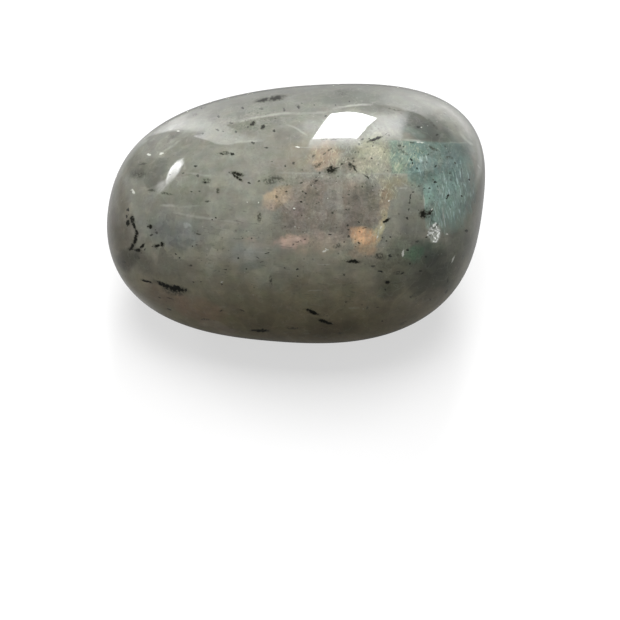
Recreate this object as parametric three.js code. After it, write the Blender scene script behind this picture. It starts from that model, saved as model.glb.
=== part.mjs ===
// Polished labradorite: one tumbled stone lying on its broad flatter side.
// Units are millimetres, +Z is up, the stone rests on z = 0 and its long axis runs along X.
import * as THREE from "three";
import { mergeVertices } from "three/addons/utils/BufferGeometryUtils.js";

// Overall size of the stone as it lies.
const LENGTH = 25.7;
const DEPTH = 20.1;
const HEIGHT = 15.1;

// The underside is worn flat by this much, which leaves a small level patch to rest on.
const BASE_WEAR = 0.12;

// How strongly the worn faces keep apart: 2 is an egg, large values give sharp edges.
const EDGE_SHARPNESS = 3;

// The broad faces that tumbling rounded together. Each row is one face: the compass
// bearing it looks to (degrees from +X towards +Y), its tilt above the horizon in
// degrees, and its distance from the middle of the stone in mm.
const WORN_FACES = [
  [120, 84, 8.6],
  [0, -90, 7.8],
  [-95, 5, 11.2],
  [85, 8, 11.6],
  [-8, -8, 16],
  [175, 12, 15.5],
  [90, 40, 11.1],
  [118, 37, 11.2],
  [-83, -40, 14.2],
  [-138, -29, 18.9],
  [-20, -16, 19.3],
  [-140, 45, 13],
  [-38, 50, 13],
  [145, -42, 14],
  [40, -40, 14],
  [30, 30, 24],
];

// A small chip knocked out of the polish, low on the right of the front.
const CHIP_BEARING = -34.6;
const CHIP_TILT = 20.2;
const CHIP_LENGTH = 1.4;
const CHIP_WIDTH = 1;
const CHIP_DEPTH = 0.16;

// The direction the long side of the chip runs in, as bearing and tilt in degrees.
const CHIP_RUN = [90, 40];

// Grid of the surface: rows of triangles along each side of the starting twenty-sided
// solid, and how far around the chip, in degrees, that grid is drawn closer together.
const GRID_ROWS = 18;
const FINE_REACH = 30;
const FINE_STRENGTH = 0.6;

// Unit vector for a compass bearing and a tilt above the horizon, both in degrees.
function facing(bearing, tilt) {
  const turn = THREE.MathUtils.degToRad(bearing);
  const rise = THREE.MathUtils.degToRad(tilt);
  const level = Math.cos(rise);
  return new THREE.Vector3(Math.cos(turn) * level, Math.sin(turn) * level, Math.sin(rise));
}

const faces = WORN_FACES.map(([bearing, tilt, distance]) => {
  return { direction: facing(bearing, tilt), distance };
});

const chipAxis = facing(CHIP_BEARING, CHIP_TILT);

// Distance from the middle of the stone to its surface in a unit direction. Every face
// the direction leans towards holds it back, and a power sum blends those faces.
function reachTowards(direction) {
  let hold = 0;
  for (const face of faces) {
    const lean = Math.max(0, direction.dot(face.direction));
    hold += (lean / face.distance) ** EDGE_SHARPNESS;
  }
  return hold ** (-1 / EDGE_SHARPNESS);
}

// Turns a direction towards the chip, more so the nearer it is, so that the grid has
// enough points there to show the rim of the chip.
function drawnTowardsChip(direction) {
  const reach = THREE.MathUtils.degToRad(FINE_REACH);
  const apart = direction.angleTo(chipAxis);
  if (apart >= reach || apart < 1e-6) {
    return direction;
  }
  const turnAxis = new THREE.Vector3().crossVectors(chipAxis, direction).normalize();
  const closer = apart * (apart / reach) ** FINE_STRENGTH;
  return chipAxis.clone().applyAxisAngle(turnAxis, closer);
}

// The rounded body, scaled to the overall size and standing on z = 0 before wear.
function roundedBody() {
  let body = new THREE.IcosahedronGeometry(1, GRID_ROWS);
  body.deleteAttribute("normal");
  body.deleteAttribute("uv");
  body = mergeVertices(body, 1e-5);
  const points = body.attributes.position;
  const direction = new THREE.Vector3();
  for (let i = 0; i < points.count; i += 1) {
    direction.fromBufferAttribute(points, i).normalize();
    const aimed = drawnTowardsChip(direction);
    const point = aimed.clone().multiplyScalar(reachTowards(aimed));
    points.setXYZ(i, point.x, point.y, point.z);
  }
  body.computeBoundingBox();
  const box = body.boundingBox;
  const size = box.getSize(new THREE.Vector3());
  const middle = box.getCenter(new THREE.Vector3());
  body.translate(-middle.x, -middle.y, -box.min.z);
  body.scale(LENGTH / size.x, DEPTH / size.y, (HEIGHT + BASE_WEAR) / size.z);
  return body;
}

// Where the middle of the chip lies on the surface, found as the nearest grid point.
function chipCentre(points) {
  const middle = new THREE.Vector3(0, 0, (HEIGHT + BASE_WEAR) / 2);
  const point = new THREE.Vector3();
  let best = new THREE.Vector3();
  let closest = Infinity;
  for (let i = 0; i < points.count; i += 1) {
    point.fromBufferAttribute(points, i);
    const apart = point.clone().sub(middle).angleTo(chipAxis);
    if (apart < closest) {
      closest = apart;
      best = point.clone();
    }
  }
  return best;
}

// Presses the shallow oval chip into the surface, deepest in its middle.
function pressChip(points) {
  const centre = chipCentre(points);
  const run = facing(CHIP_RUN[0], CHIP_RUN[1]);
  run.addScaledVector(chipAxis, -run.dot(chipAxis)).normalize();
  const across = new THREE.Vector3().crossVectors(run, chipAxis);
  const point = new THREE.Vector3();
  for (let i = 0; i < points.count; i += 1) {
    point.fromBufferAttribute(points, i);
    const offset = point.clone().sub(centre);
    const along = offset.dot(run) / (CHIP_LENGTH / 2);
    const sideways = offset.dot(across) / (CHIP_WIDTH / 2);
    const inside = 1 - along * along - sideways * sideways;
    if (inside > 0 && offset.length() < CHIP_LENGTH) {
      point.addScaledVector(chipAxis, -CHIP_DEPTH * Math.sqrt(inside));
      points.setXYZ(i, point.x, point.y, point.z);
    }
  }
}

// Wears the underside level and sets that level patch on z = 0.
function wearBase(points) {
  for (let i = 0; i < points.count; i += 1) {
    points.setZ(i, Math.max(0, points.getZ(i) - BASE_WEAR));
  }
}

function stoneGeometry() {
  const stone = roundedBody();
  pressChip(stone.attributes.position);
  wearBase(stone.attributes.position);
  stone.computeVertexNormals();
  return stone;
}

const polishedStone = new THREE.MeshStandardMaterial({
  color: 0x7f8175,
  roughness: 0.12,
  metalness: 0,
});

const stone = new THREE.Mesh(stoneGeometry(), polishedStone);
stone.name = "labradorite_stone";

const part = new THREE.Group();
part.name = "tumbled_labradorite";
part.add(stone);

export default part;
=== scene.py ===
import math

import bpy
import numpy as np
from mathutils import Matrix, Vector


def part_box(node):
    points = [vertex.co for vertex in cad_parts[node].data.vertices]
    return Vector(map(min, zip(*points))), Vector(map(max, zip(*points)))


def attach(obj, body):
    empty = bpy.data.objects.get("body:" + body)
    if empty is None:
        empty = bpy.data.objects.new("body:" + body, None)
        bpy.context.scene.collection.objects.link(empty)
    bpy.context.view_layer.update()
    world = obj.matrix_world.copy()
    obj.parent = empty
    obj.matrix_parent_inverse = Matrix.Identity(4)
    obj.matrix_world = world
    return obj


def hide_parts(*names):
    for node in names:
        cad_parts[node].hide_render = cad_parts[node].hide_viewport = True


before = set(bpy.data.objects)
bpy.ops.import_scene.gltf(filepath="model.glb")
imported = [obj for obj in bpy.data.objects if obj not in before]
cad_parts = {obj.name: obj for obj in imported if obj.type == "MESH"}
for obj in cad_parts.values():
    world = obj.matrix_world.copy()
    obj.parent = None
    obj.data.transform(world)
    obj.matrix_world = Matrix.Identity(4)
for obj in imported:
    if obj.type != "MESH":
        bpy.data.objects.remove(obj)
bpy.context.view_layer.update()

# The rounded form of the stone, in millimetres and degrees, as in the solid.
# Each worn face is its compass bearing, its tilt above the horizon and its distance
# from the middle of the stone.
WORN_FACES = np.array([
    [120, 84, 8.6],
    [0, -90, 7.8],
    [-95, 5, 11.2],
    [85, 8, 11.6],
    [-8, -8, 16.0],
    [175, 12, 15.5],
    [90, 40, 11.1],
    [118, 37, 11.2],
    [-83, -40, 14.2],
    [-138, -29, 18.9],
    [-20, -16, 19.3],
    [-140, 45, 13.0],
    [-38, 50, 13.0],
    [145, -42, 14.0],
    [40, -40, 14.0],
    [30, 30, 24.0],
])
EDGE_SHARPNESS = 3
BASE_WEAR = 0.12

# The chip: where it looks to, which way its long side runs, its size and depth.
CHIP_BEARING = -34.6
CHIP_TILT = 20.2
CHIP_RUN = (90, 40)
CHIP_LENGTH = 1.4
CHIP_WIDTH = 0.95
CHIP_DEPTH = 0.16
# Swings of the chip's outline: share of the radius, waves around and start.
CHIP_SWINGS = [(0.13, 3, 0.6), (0.09, 5, 2), (0.05, 9, 0)]
# Broken flats in the chip: middle along and across, lean along and across, and level.
CHIP_FLATS = np.array([
    [0.75, 0.1, 0.7, -0.5, 0.55],
    [0.35, -0.5, -0.9, 0.8, 0.8],
    [0.3, 0.45, 0.6, 0.9, 0.7],
    [-0.05, -0.05, -0.5, -1.0, 1.0],
    [-0.2, 0.6, 1.1, -0.4, 0.75],
    [-0.35, -0.55, 0.8, 0.7, 0.6],
    [-0.6, 0.15, -1.0, 0.5, 0.85],
    [-0.85, -0.3, 0.4, -0.8, 0.5],
])

# Least and greatest share of the depth that the broken flats reach.
CHIP_REACH = (0.15, 1.3)

# Slight unevenness of the polish: direction and pace, start, and size as a share.
POLISH_WAVES = [
    ((3.1, 1.7, -2.2), 0.4, 0.0016),
    ((-2.4, 3.6, 1.9), 2.1, 0.0013),
    ((5.2, -1.1, 3.8), 1.2, 0.0009),
    ((-1.8, -5.6, 4.1), 5.0, 0.0008),
    ((7.4, 4.2, 2.6), 3.3, 0.0004),
    ((2.9, -6.8, -7.1), 0.9, 0.0004),
]

# Grid of the surface: rings around the chip, and points on each ring.
RINGS = 262
AROUND = 360
RING_CROWDING = 1.6

MM = 0.001

# The side that shows is looked at from this height above the table, in degrees.
VIEW_TILT = 50
CAMERA_DISTANCE = 0.6
PIXELS_PER_MM = 14.733
IMAGE_SIDE = 620
SENSOR = 36
SEEN_CENTRE = (296, 213.5)
SEEN_DROP = 0.939
# The stone is above the picture's middle, so the line of sight to it is a little lower.
MARKS_TILT = VIEW_TILT - math.degrees(
    math.atan((IMAGE_SIDE / 2 - SEEN_CENTRE[1]) / PIXELS_PER_MM * MM / CAMERA_DISTANCE)
)

# What the polish mirrors from afar: distance in metres, share of the card over which its
# edge fades, glow of the middle, then bearing, tilt and glow around each card's rim.
FAR_CARDS = [
    ("window", 0.97, 0.02, 26, [
        (91.0, 20.6, 26), (88.3, 19.6, 26), (85.0, 22.3, 26), (79.4, 27.6, 22), (79.2, 36.0, 24),
        (78.8, 45.8, 24), (94.2, 43.7, 26),
    ]),
    ("frosted_pane", 1.0, 0.5, 5.5, [
        (82.9, 21.5, 3.5), (73.6, 15.3, 3), (63.4, 32.7, 4.5), (54.7, 42.6, 4.5), (79.0, 49.5, 4),
    ]),
    ("window_sill", 0.99, 0.02, 2.5, [
        (94.6, 43.0, 6), (78.9, 45.2, 6), (67.9, 54.4, 0.1), (96.4, 54.4, 0.1),
    ]),
    ("side_window", 0.97, 0.35, 9, [
        (128.6, 23.7, 13), (133.6, 27.9, 14), (142.4, 30.4, 8), (149.2, 30.2, 5),
        (155.7, 28.6, 3), (158.7, 25.4, 5), (150.5, 24.6, 10), (143.9, 23.7, 11),
        (137.5, 22.6, 17), (131.2, 22.2, 15),
    ]),
    ("side_gleam", 1.0, 0.5, 4, [
        (147.7, 27.8, 4), (160.0, 28.4, 4), (164.5, 20.4, 2), (154.6, 17.3, 2), (148.6, 21.6, 4),
    ]),
    ("pale_wall", 1.0, 0.05, 2.6, [
        (115.6, 11.0, 2.4), (116.3, 16.7, 2.8), (117.1, 28.0, 2.6), (115.6, 32.9, 2.4),
        (112.1, 34.6, 1.6), (105.9, 37.9, 0.7), (105.2, 34.0, 0.4), (107.7, 26.0, 0.7),
        (107.6, 18.1, 1.6), (107.6, 11.0, 2.0),
    ]),
]

# The pale sheet behind the stone, part standing and part lying on the table: right, back
# and top edge in millimetres, then glow at the top edge, at the foot and at the front.
SHEET = [
    (-28.2, 48.7, 25.4, 0.0, 0.0, 0.0), (-26.2, 49.2, 25.6, 1.5, 2.3, 0.8),
    (-23.5, 50.0, 25.8, 2.2, 2.1, 0.9), (-20, 51.3, 26.2, 1.4, 1.2, 0.8),
    (-16, 52.3, 26.5, 1.0, 0.8, 0.55), (-11, 53.4, 26.8, 0.8, 0.6, 0.45),
    (-4, 54.4, 27.5, 0.75, 0.5, 0.4), (3, 55.0, 26.6, 0.75, 0.5, 0.4),
    (9, 54.8, 24.5, 0.9, 0.6, 0.35), (14, 54.0, 25.5, 1.6, 1.0, 0.4),
    (20, 53.0, 29.5, 2.4, 1.2, 0.45), (27, 50.6, 30.0, 2.5, 1.6, 0.55),
    (33, 48.0, 32.0, 1.1, 1.8, 0.7), (42, 41.0, 33.5, 0.2, 1.6, 0.7),
    (49, 34.0, 29.5, 0.1, 1.1, 0.6), (55, 28.0, 20.0, 0.1, 0.6, 0.5),
]
# Its front edge lies nearer by these shares of right and back, this far above the table.
SHEET_FRONT = (0.6, 0.45)
SHEET_LEVEL = 0.2
# The floor as the polish mirrors it: where its glow starts and is full behind and beside
# the stone, in metres, and the glow at both.
FLOOR_BEHIND = (0.0, 0.025, 0.07, 0.32)
FLOOR_BESIDE = (0.007, 0.013, 0.0, 0.12)
# Gleams of the floor in the polish along the stone's sides, in millimetres: where each
# starts and is full from either side, to the right and then to the back, and its glow.
FLOOR_GLEAMS = [
    ((-11, -14.5), (-25, -16.5), (-6, 1), (60, 50), 0.17),
    ((11.5, 15.5), (25, 16.5), (-8, 0), (60, 50), 0.105),
    ((18, 23), (36, 25), (8, 11.5), (60, 50), 0.5),
    ((-19, -24), (-60, -45), (3, 6), (14, 9), 0.15),
    ((-9.5, -11.5), (-15.5, -12), (-8.5, -4.5), (0, -3), 0.17),
    ((-17, -22), (-40, -25), (12, 17), (45, 24), -0.18),
]
# The stone is a little nearer to the eye than its middle is, so it looks this much larger.
NEARNESS = 1 / 0.987
# Depth behind the rim that shows, where the marks of the near side give way to the far.
RIM_SLOPE = (-0.034, 0.211, 1)
RIM_DEPTH = 1.55
# Depths over which small and large marks fade out on both sides of that border.
SMALL_FADE = 0.35
LARGE_FADE = 1.2
# The far side shows the near side's marks turned, in degrees, and stretched and mirrored.
FAR_TURN = 155
FAR_SCALE = (0.95, -1.05, 1)

# Marks on the side that shows: right, up, half length and half width in millimetres from
# the middle of the outline, and the turn of the long side in degrees.
DARK_SPECKS = [
    (-2.28, 7.76, 0.45, 0.12, 10), (-1.35, 7.9, 0.54, 0.15, 13), (-6.42, 7.27, 0.24, 0.06, 15),
    (-3.65, 7.24, 0.11, 0.1, 0), (-5.29, 6.63, 0.1, 0.09, 0), (-0.81, 7.11, 0.16, 0.07, 100),
    (0.12, 7.28, 0.16, 0.08, -50), (-4.4, 6.18, 0.14, 0.07, -20), (-5.38, 5.72, 0.16, 0.06, -40),
    (-4.99, 5.63, 0.1, 0.04, 0), (-6.38, 5.44, 0.1, 0.07, -20), (-2.96, 6.11, 0.19, 0.09, 45),
    (-3.26, 5.89, 0.1, 0.07, 20), (-2.26, 5.89, 0.15, 0.11, 60), (-4.1, 5.57, 0.12, 0.09, 0),
    (-1.48, 5.63, 0.09, 0.08, 0), (-2.93, 4.82, 0.14, 0.1, -20), (-2.02, 4.48, 0.19, 0.05, 0),
    (-5.1, 4.07, 0.22, 0.065, -15), (-4.32, 4.04, 0.16, 0.08, 0), (-1.66, 3.51, 0.09, 0.05, 0),
    (-0.71, 3.25, 0.1, 0.07, -30), (-0.14, 3.43, 0.1, 0.1, 0), (-6.85, 3.24, 0.12, 0.07, 0),
    (-7.69, 2.73, 0.1, 0.07, 0), (-6.66, 2.56, 0.1, 0.09, 0), (-8.58, 2.67, 0.08, 0.08, 0),
    (-6.13, 2.15, 0.13, 0.08, 10), (-4.53, 2.78, 0.07, 0.05, 0), (-3.97, 2.69, 0.36, 0.12, -10),
    (-3.95, 2.42, 0.3, 0.08, -35), (-3.13, 2.08, 0.12, 0.07, -20), (-2.5, 2.19, 0.09, 0.06, 0),
    (-1.31, 1.18, 0.14, 0.08, -55), (-0.66, 1.48, 0.1, 0.08, 0), (-7.11, 1.5, 0.07, 0.05, 0),
    (-6.55, 1.5, 0.07, 0.06, 0), (-11.48, 0.28, 0.14, 0.08, 100), (-5.99, 0.83, 0.22, 0.06, 0),
    (1.26, 7.4, 0.07, 0.07, 0), (2.7, 7.4, 0.08, 0.07, 0), (3.68, 7.67, 0.06, 0.05, 0),
    (2.03, 6.65, 0.12, 0.06, 0), (0.41, 7.56, 0.07, 0.04, 0), (9.62, 5.36, 0.14, 0.09, 0),
    (8.33, 5.9, 0.12, 0.08, 0), (4.47, 5.5, 0.08, 0.07, 0), (4.52, 5.05, 0.13, 0.08, 30),
    (4.3, 4.74, 0.1, 0.07, 0), (4.96, 5.1, 0.06, 0.05, 0), (4.92, 4.56, 0.06, 0.05, 0),
    (5.25, 4.61, 0.06, 0.04, 20), (5.41, 5.07, 0.43, 0.09, 20), (6.14, 5.39, 0.08, 0.04, 40),
    (6.34, 5.35, 0.07, 0.06, 0), (3.19, 5.23, 0.11, 0.04, 50), (1.94, 5.07, 0.27, 0.04, 0),
    (2.65, 5.05, 0.35, 0.04, 5), (2.3, 4.34, 0.2, 0.06, 32), (1.97, 4.09, 0.15, 0.07, 30),
    (1.19, 3.92, 0.15, 0.06, 30), (4.03, 4.17, 0.08, 0.06, 0), (3.94, 3.54, 0.07, 0.05, 0),
    (2.38, 2.96, 0.27, 0.17, 5), (2.42, 3.04, 0.1, 0.24, 10), (2.79, 3.08, 0.18, 0.05, 5),
    (3.12, 3.35, 0.14, 0.07, 30), (3.66, 3.33, 0.12, 0.09, 0), (3.92, 3.2, 0.1, 0.08, 60),
    (4, 2.99, 0.2, 0.07, -50),
    (4.83, 2.48, 0.28, 0.05, -40), (1.62, 2.77, 0.08, 0.07, 0), (-0.14, 3.39, 0.11, 0.1, 0),
    (1.41, 2.23, 0.12, 0.06, 30), (1.06, 1.93, 0.08, 0.08, 0), (0.37, 2.08, 0.12, 0.04, 20),
    (7.86, 3.65, 0.12, 0.06, -50), (7.92, 3.44, 0.12, 0.05, 90), (8.23, 3.07, 0.1, 0.08, 0),
    (9.49, 3.21, 0.14, 0.08, 25), (7.05, 4.61, 0.11, 0.08, 0), (7.31, 4.56, 0.07, 0.05, 0),
    (7.93, 4.82, 0.2, 0.06, -10), (9, 3.99, 0.09, 0.05, 40), (10.51, 2.75, 0.09, 0.07, 0),
    (9.49, 2.14, 0.09, 0.08, 0), (9.09, 1.7, 0.07, 0.05, 0), (8.73, 1.72, 0.1, 0.04, 0),
    (10.33, 1.14, 0.21, 0.07, 64), (9.07, 1.04, 0.07, 0.05, 0), (11.31, 1.19, 0.09, 0.08, 0),
    (11.84, 2.3, 0.07, 0.05, 0), (7.98, 1.46, 0.11, 0.04, 0), (7.77, 1.1, 0.23, 0.05, 76),
    (7.73, 0.75, 0.15, 0.07, 85), (2.52, 0.04, 0.09, 0.07, 0), (0.39, 0.79, 0.09, 0.06, 0),
    (3.59, 1.28, 0.09, 0.06, 0), (0.66, 1.37, 0.08, 0.06, 0), (-11.53, 0.27, 0.12, 0.06, 80),
    (-11.55, -0.23, 0.11, 0.08, 80), (-11.47, -0.64, 0.15, 0.11, 90), (-11.16, -0.46, 0.26, 0.13, 97),
    (-11.03, -0.86, 0.24, 0.08, 105), (-10.87, -1.3, 0.18, 0.1, 110), (-10.93, -1.66, 0.17, 0.11, 90),
    (-10.99, -1.94, 0.18, 0.12, 75), (-11.15, -2.16, 0.17, 0.1, 60), (-11.25, -2.37, 0.17, 0.13, 20),
    (-10.77, -2.52, 0.16, 0.1, 0), (-10.5, -2.25, 0.2, 0.08, 50), (-10.32, -2.43, 0.12, 0.07, 60),
    (-10.98, -2.5, 0.14, 0.07, -10), (-9.92, -0.9, 0.13, 0.12, 0), (-9.84, -1.46, 0.12, 0.08, 0),
    (-9.49, -1.32, 0.12, 0.1, 40), (-9.56, -1.12, 0.07, 0.04, 40), (-9.78, -2.27, 0.07, 0.05, 0),
    (-9.49, -2.2, 0.18, 0.09, 10), (-9.1, -2.09, 0.13, 0.12, 0), (-8.15, -2.75, 0.08, 0.05, -20),
    (-7.94, -3.01, 0.09, 0.07, 30), (-10.19, -4.63, 0.31, 0.06, -15), (-8.93, -4.9, 0.61, 0.12, -22),
    (-8.19, -5.12, 0.66, 0.16, -12), (-9.36, -5.75, 0.12, 0.05, -30), (-8.63, -5.78, 0.23, 0.05, -15),
    (-8.67, -6.55, 0.19, 0.06, -15), (-8.3, -4.95, 0.14, 0.08, -20),
    (-2.5, -8, 0.5, 0.09, 0), (-3.35, -3.79, 0.08, 0.08, 0),
    (-3.88, -3.02, 0.08, 0.06, 80), (-7.16, -3.57, 0.12, 0.07, 0), (-6.72, -2.13, 0.1, 0.06, 0),
    (-7.03, -2.24, 0.06, 0.05, 0), (-6.98, -4.67, 0.1, 0.07, 0), (-6.46, -4.63, 0.09, 0.04, 0),
    (-5.68, -0.43, 0.06, 0.05, 0), (-5.42, -0.3, 0.07, 0.04, 0), (-3, -1.66, 0.08, 0.07, 0),
    (-3.61, -1.68, 0.06, 0.05, 0), (0.07, -1.94, 0.09, 0.05, 0), (-0.19, -2.11, 0.07, 0.05, 0),
    (-5.03, -4.81, 0.09, 0.07, 90), (-0.79, -3.65, 0.09, 0.06, 0), (0.07, -3.8, 0.07, 0.05, 0),
    (-2.57, -3.02, 0.13, 0.04, -40), (-2.31, -3.28, 0.14, 0.04, 20), (-1.96, -2.68, 0.21, 0.04, 15),
    (-4.77, -3.8, 0.12, 0.04, 0), (8.66, -0.04, 0.24, 0.21, 70), (9.13, 0.07, 0.2, 0.08, 45),
    (7.54, -0.33, 0.1, 0.08, 0), (7.67, 0.29, 0.14, 0.05, 85), (6.18, -0.47, 0.21, 0.08, 35),
    (5.98, -0.57, 0.09, 0.07, 0), (4.65, -0.97, 0.19, 0.05, 10), (3.56, -1.57, 0.12, 0.08, 30),
    (3.59, -1.08, 0.08, 0.07, 0), (3.29, -1.94, 0.06, 0.05, 0), (4.3, -2.01, 0.13, 0.07, -30),
    (2.34, -1.41, 0.12, 0.05, 0), (2.48, 0.06, 0.09, 0.07, 0), (3.41, 0.25, 0.08, 0.05, 0),
    (4.3, -0.61, 0.06, 0.05, 0), (-0.19, -2.13, 0.08, 0.05, 20), (0.14, -1.94, 0.09, 0.06, 20),
    (0.37, -1.88, 0.07, 0.07, 0), (0.64, -1.73, 0.1, 0.06, 35), (5.5, -2.8, 0.11, 0.07, 0),
    (6.38, -2.86, 0.12, 0.12, 0), (3.93, -3.25, 0.38, 0.1, -3), (5.21, -3.55, 0.18, 0.07, -5),
    (7.25, -4.05, 0.1, 0.06, 0), (6.2, -4.66, 0.14, 0.11, 0), (6.07, -5.18, 0.08, 0.07, 0),
    (8.25, -1.9, 0.11, 0.08, 35), (8.87, -1.61, 0.07, 0.05, 0), (9.09, -1.46, 0.15, 0.06, 30),
    (7.58, -2.47, 0.11, 0.09, 0), (8.85, -2.94, 0.09, 0.08, 0), (7.76, -3.41, 0.09, 0.07, 0),
    (11.66, -1.17, 0.15, 0.1, 30), (6.12, -1.83, 0.09, 0.06, 0), (6.41, -1.61, 0.08, 0.07, 0),
    (3.26, -4.16, 0.09, 0.08, 0), (0.13, -3.77, 0.07, 0.06, 0), (0.14, -4.26, 0.07, 0.05, 0),
    (3.41, -6.02, 0.07, 0.04, 0), (1.15, -6.72, 0.4, 0.1, -22), (1.88, -7.34, 0.28, 0.1, -20),
    (2.26, -7.47, 0.23, 0.07, -15), (5.89, -7.34, 0.08, 0.07, 0), (5.54, -6.41, 0.16, 0.05, 0),
    (10.37, -4.59, 0.2, 0.07, 80), (5.72, -3.92, 0.22, 0.05, -5),
    (8.47, -3.92, 0.1, 0.07, 0),
]
BLURRED_SPECKS = [
    (-6.9, 6.8, 0.29, 0.12, 10), (-10.49, 3.4, 0.31, 0.1, 0), (-10.75, 2.69, 0.52, 0.28, 0),
    (-1.31, 2.39, 0.54, 0.21, -10), (-1.79, 2.2, 0.48, 0.26, 0), (-5.29, 1.52, 0.24, 0.12, 90),
    (-9.84, 1.57, 0.3, 0.11, 0), (-8.8, 1.35, 0.4, 0.1, -10), (-2.35, 7.17, 0.14, 0.1, 0),
    (3.14, 8.29, 0.49, 0.23, 0), (0.17, 7.32, 0.22, 0.12, -40), (9.35, 4.43, 0.49, 0.11, -25),
    (10.42, 3.81, 0.34, 0.12, -5), (6.69, 7.11, 0.53, 0.07, -10), (9.35, 6.12, 0.53, 0.08, -48),
    (1.55, 3.28, 0.53, 0.18, 20), (7.31, 4.17, 0.44, 0.12, -30), (-11.76, -3.33, 0.16, 0.09, -20),
    (-6.2, -7.24, 0.29, 0.08, 0), (-6.64, -1.38, 0.24, 0.08, -10), (-2.48, -0.21, 0.17, 0.39, 0),
    (-8.35, -5.3, 0.8, 0.3, -14), (-1.7, -4.63, 0.12, 0.43, 0), (4.87, -6.41, 0.08, 0.12, 0),
    (7.85, -5.65, 0.13, 0.13, 0), (9.18, -5.87, 0.12, 0.09, 0), (5.72, -2.9, 0.44, 0.23, 0),
    (8.91, -0.02, 0.53, 0.39, 0), (10.29, -5.34, 0.2, 0.08, 70), (3.05, -8.14, 0.21, 0.08, 0),
    (-0.14, -7.82, 0.53, 0.09, 0), (-5.05, -6.62, 0.2, 0.07, 10), (-3.65, -6.6, 0.22, 0.06, -15),
    (2.35, 2.85, 0.46, 0.26, 5), (3.85, 3.2, 0.3, 0.2, -20), (-10.71, -3.0, 0.15, 0.08, -45),
    (-4.7, 4.1, 0.5, 0.14, -8), (-6.1, 2.2, 0.3, 0.2, 10), (7.02, -4.03, 0.42, 0.13, 3),
    (7.3, -7.5, 0.38, 0.1, 20), (2.8, -2.2, 0.3, 0.16, 20),
]
WHITE_SPECKS = [
    (0.12, 4.52, 0.17, 0.05, -8), (-9.19, 4.1, 0.16, 0.08, 25), (-10.06, 4.02, 0.12, 0.09, 0),
    (-0.1, 0.33, 0.07, 0.06, 0), (-2.52, 0.76, 0.05, 0.04, 0), (-3.29, 0.76, 0.05, 0.04, 0),
    (-11.12, 1.48, 0.19, 0.12, -60), (-11.2, 1.6, 0.14, 0.06, 20), (-8.05, 5.63, 0.16, 0.05, 0),
    (6.31, 0.86, 0.07, 0.06, 0), (2.17, 1.02, 0.04, 0.03, 0), (8.57, 5.88, 0.05, 0.04, 0),
    (8.45, 4.86, 0.3, 0.05, -6), (1.99, 5.27, 0.07, 0.05, 0), (-5.03, -4.65, 0.09, 0.07, 0),
    (7.27, -2.7, 0.3, 0.08, 82), (10.74, -3.1, 0.28, 0.06, 70),
    (1.95, -2.55, 0.2, 0.07, 25), (2.1, -2.42, 0.12, 0.05, -20),
    (10.31, -1.41, 0.09, 0.07, 0), (9.25, 0.28, 0.1, 0.04, 60), (5.55, -1.6, 0.13, 0.05, 75),
    (5.75, -0.95, 0.12, 0.05, 60),
]

# Half length times half width above which a dark speck is black through and through.
LARGE_SPECK = 0.015

# Where the chip is dull, and the crushed flakes in it: the same columns.
CHIP_AREA = (9.42, -1.32, 0.66, 0.44, 92)
CHIP_FLAKES = [
    (9.44, -0.76, 0.17, 0.07, 62), (9.57, -0.92, 0.13, 0.05, -72), (9.16, -1.04, 0.13, 0.08, 60),
    (9.31, -1.09, 0.08, 0.06, 0), (9.71, -1.12, 0.11, 0.08, 0), (9.70, -1.4, 0.24, 0.07, 80),
    (9.55, -1.19, 0.14, 0.06, -25), (9.1, -1.31, 0.11, 0.08, -20), (9.26, -1.36, 0.07, 0.05, -40),
    (8.98, -1.46, 0.06, 0.05, 0), (9.38, -1.29, 0.09, 0.04, 0), (9.42, -1.65, 0.11, 0.05, -45),
    (9.5, -1.9, 0.18, 0.06, 8), (9.62, -1.78, 0.1, 0.06, 60), (9.36, -1.5, 0.05, 0.04, 0),
]

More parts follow.
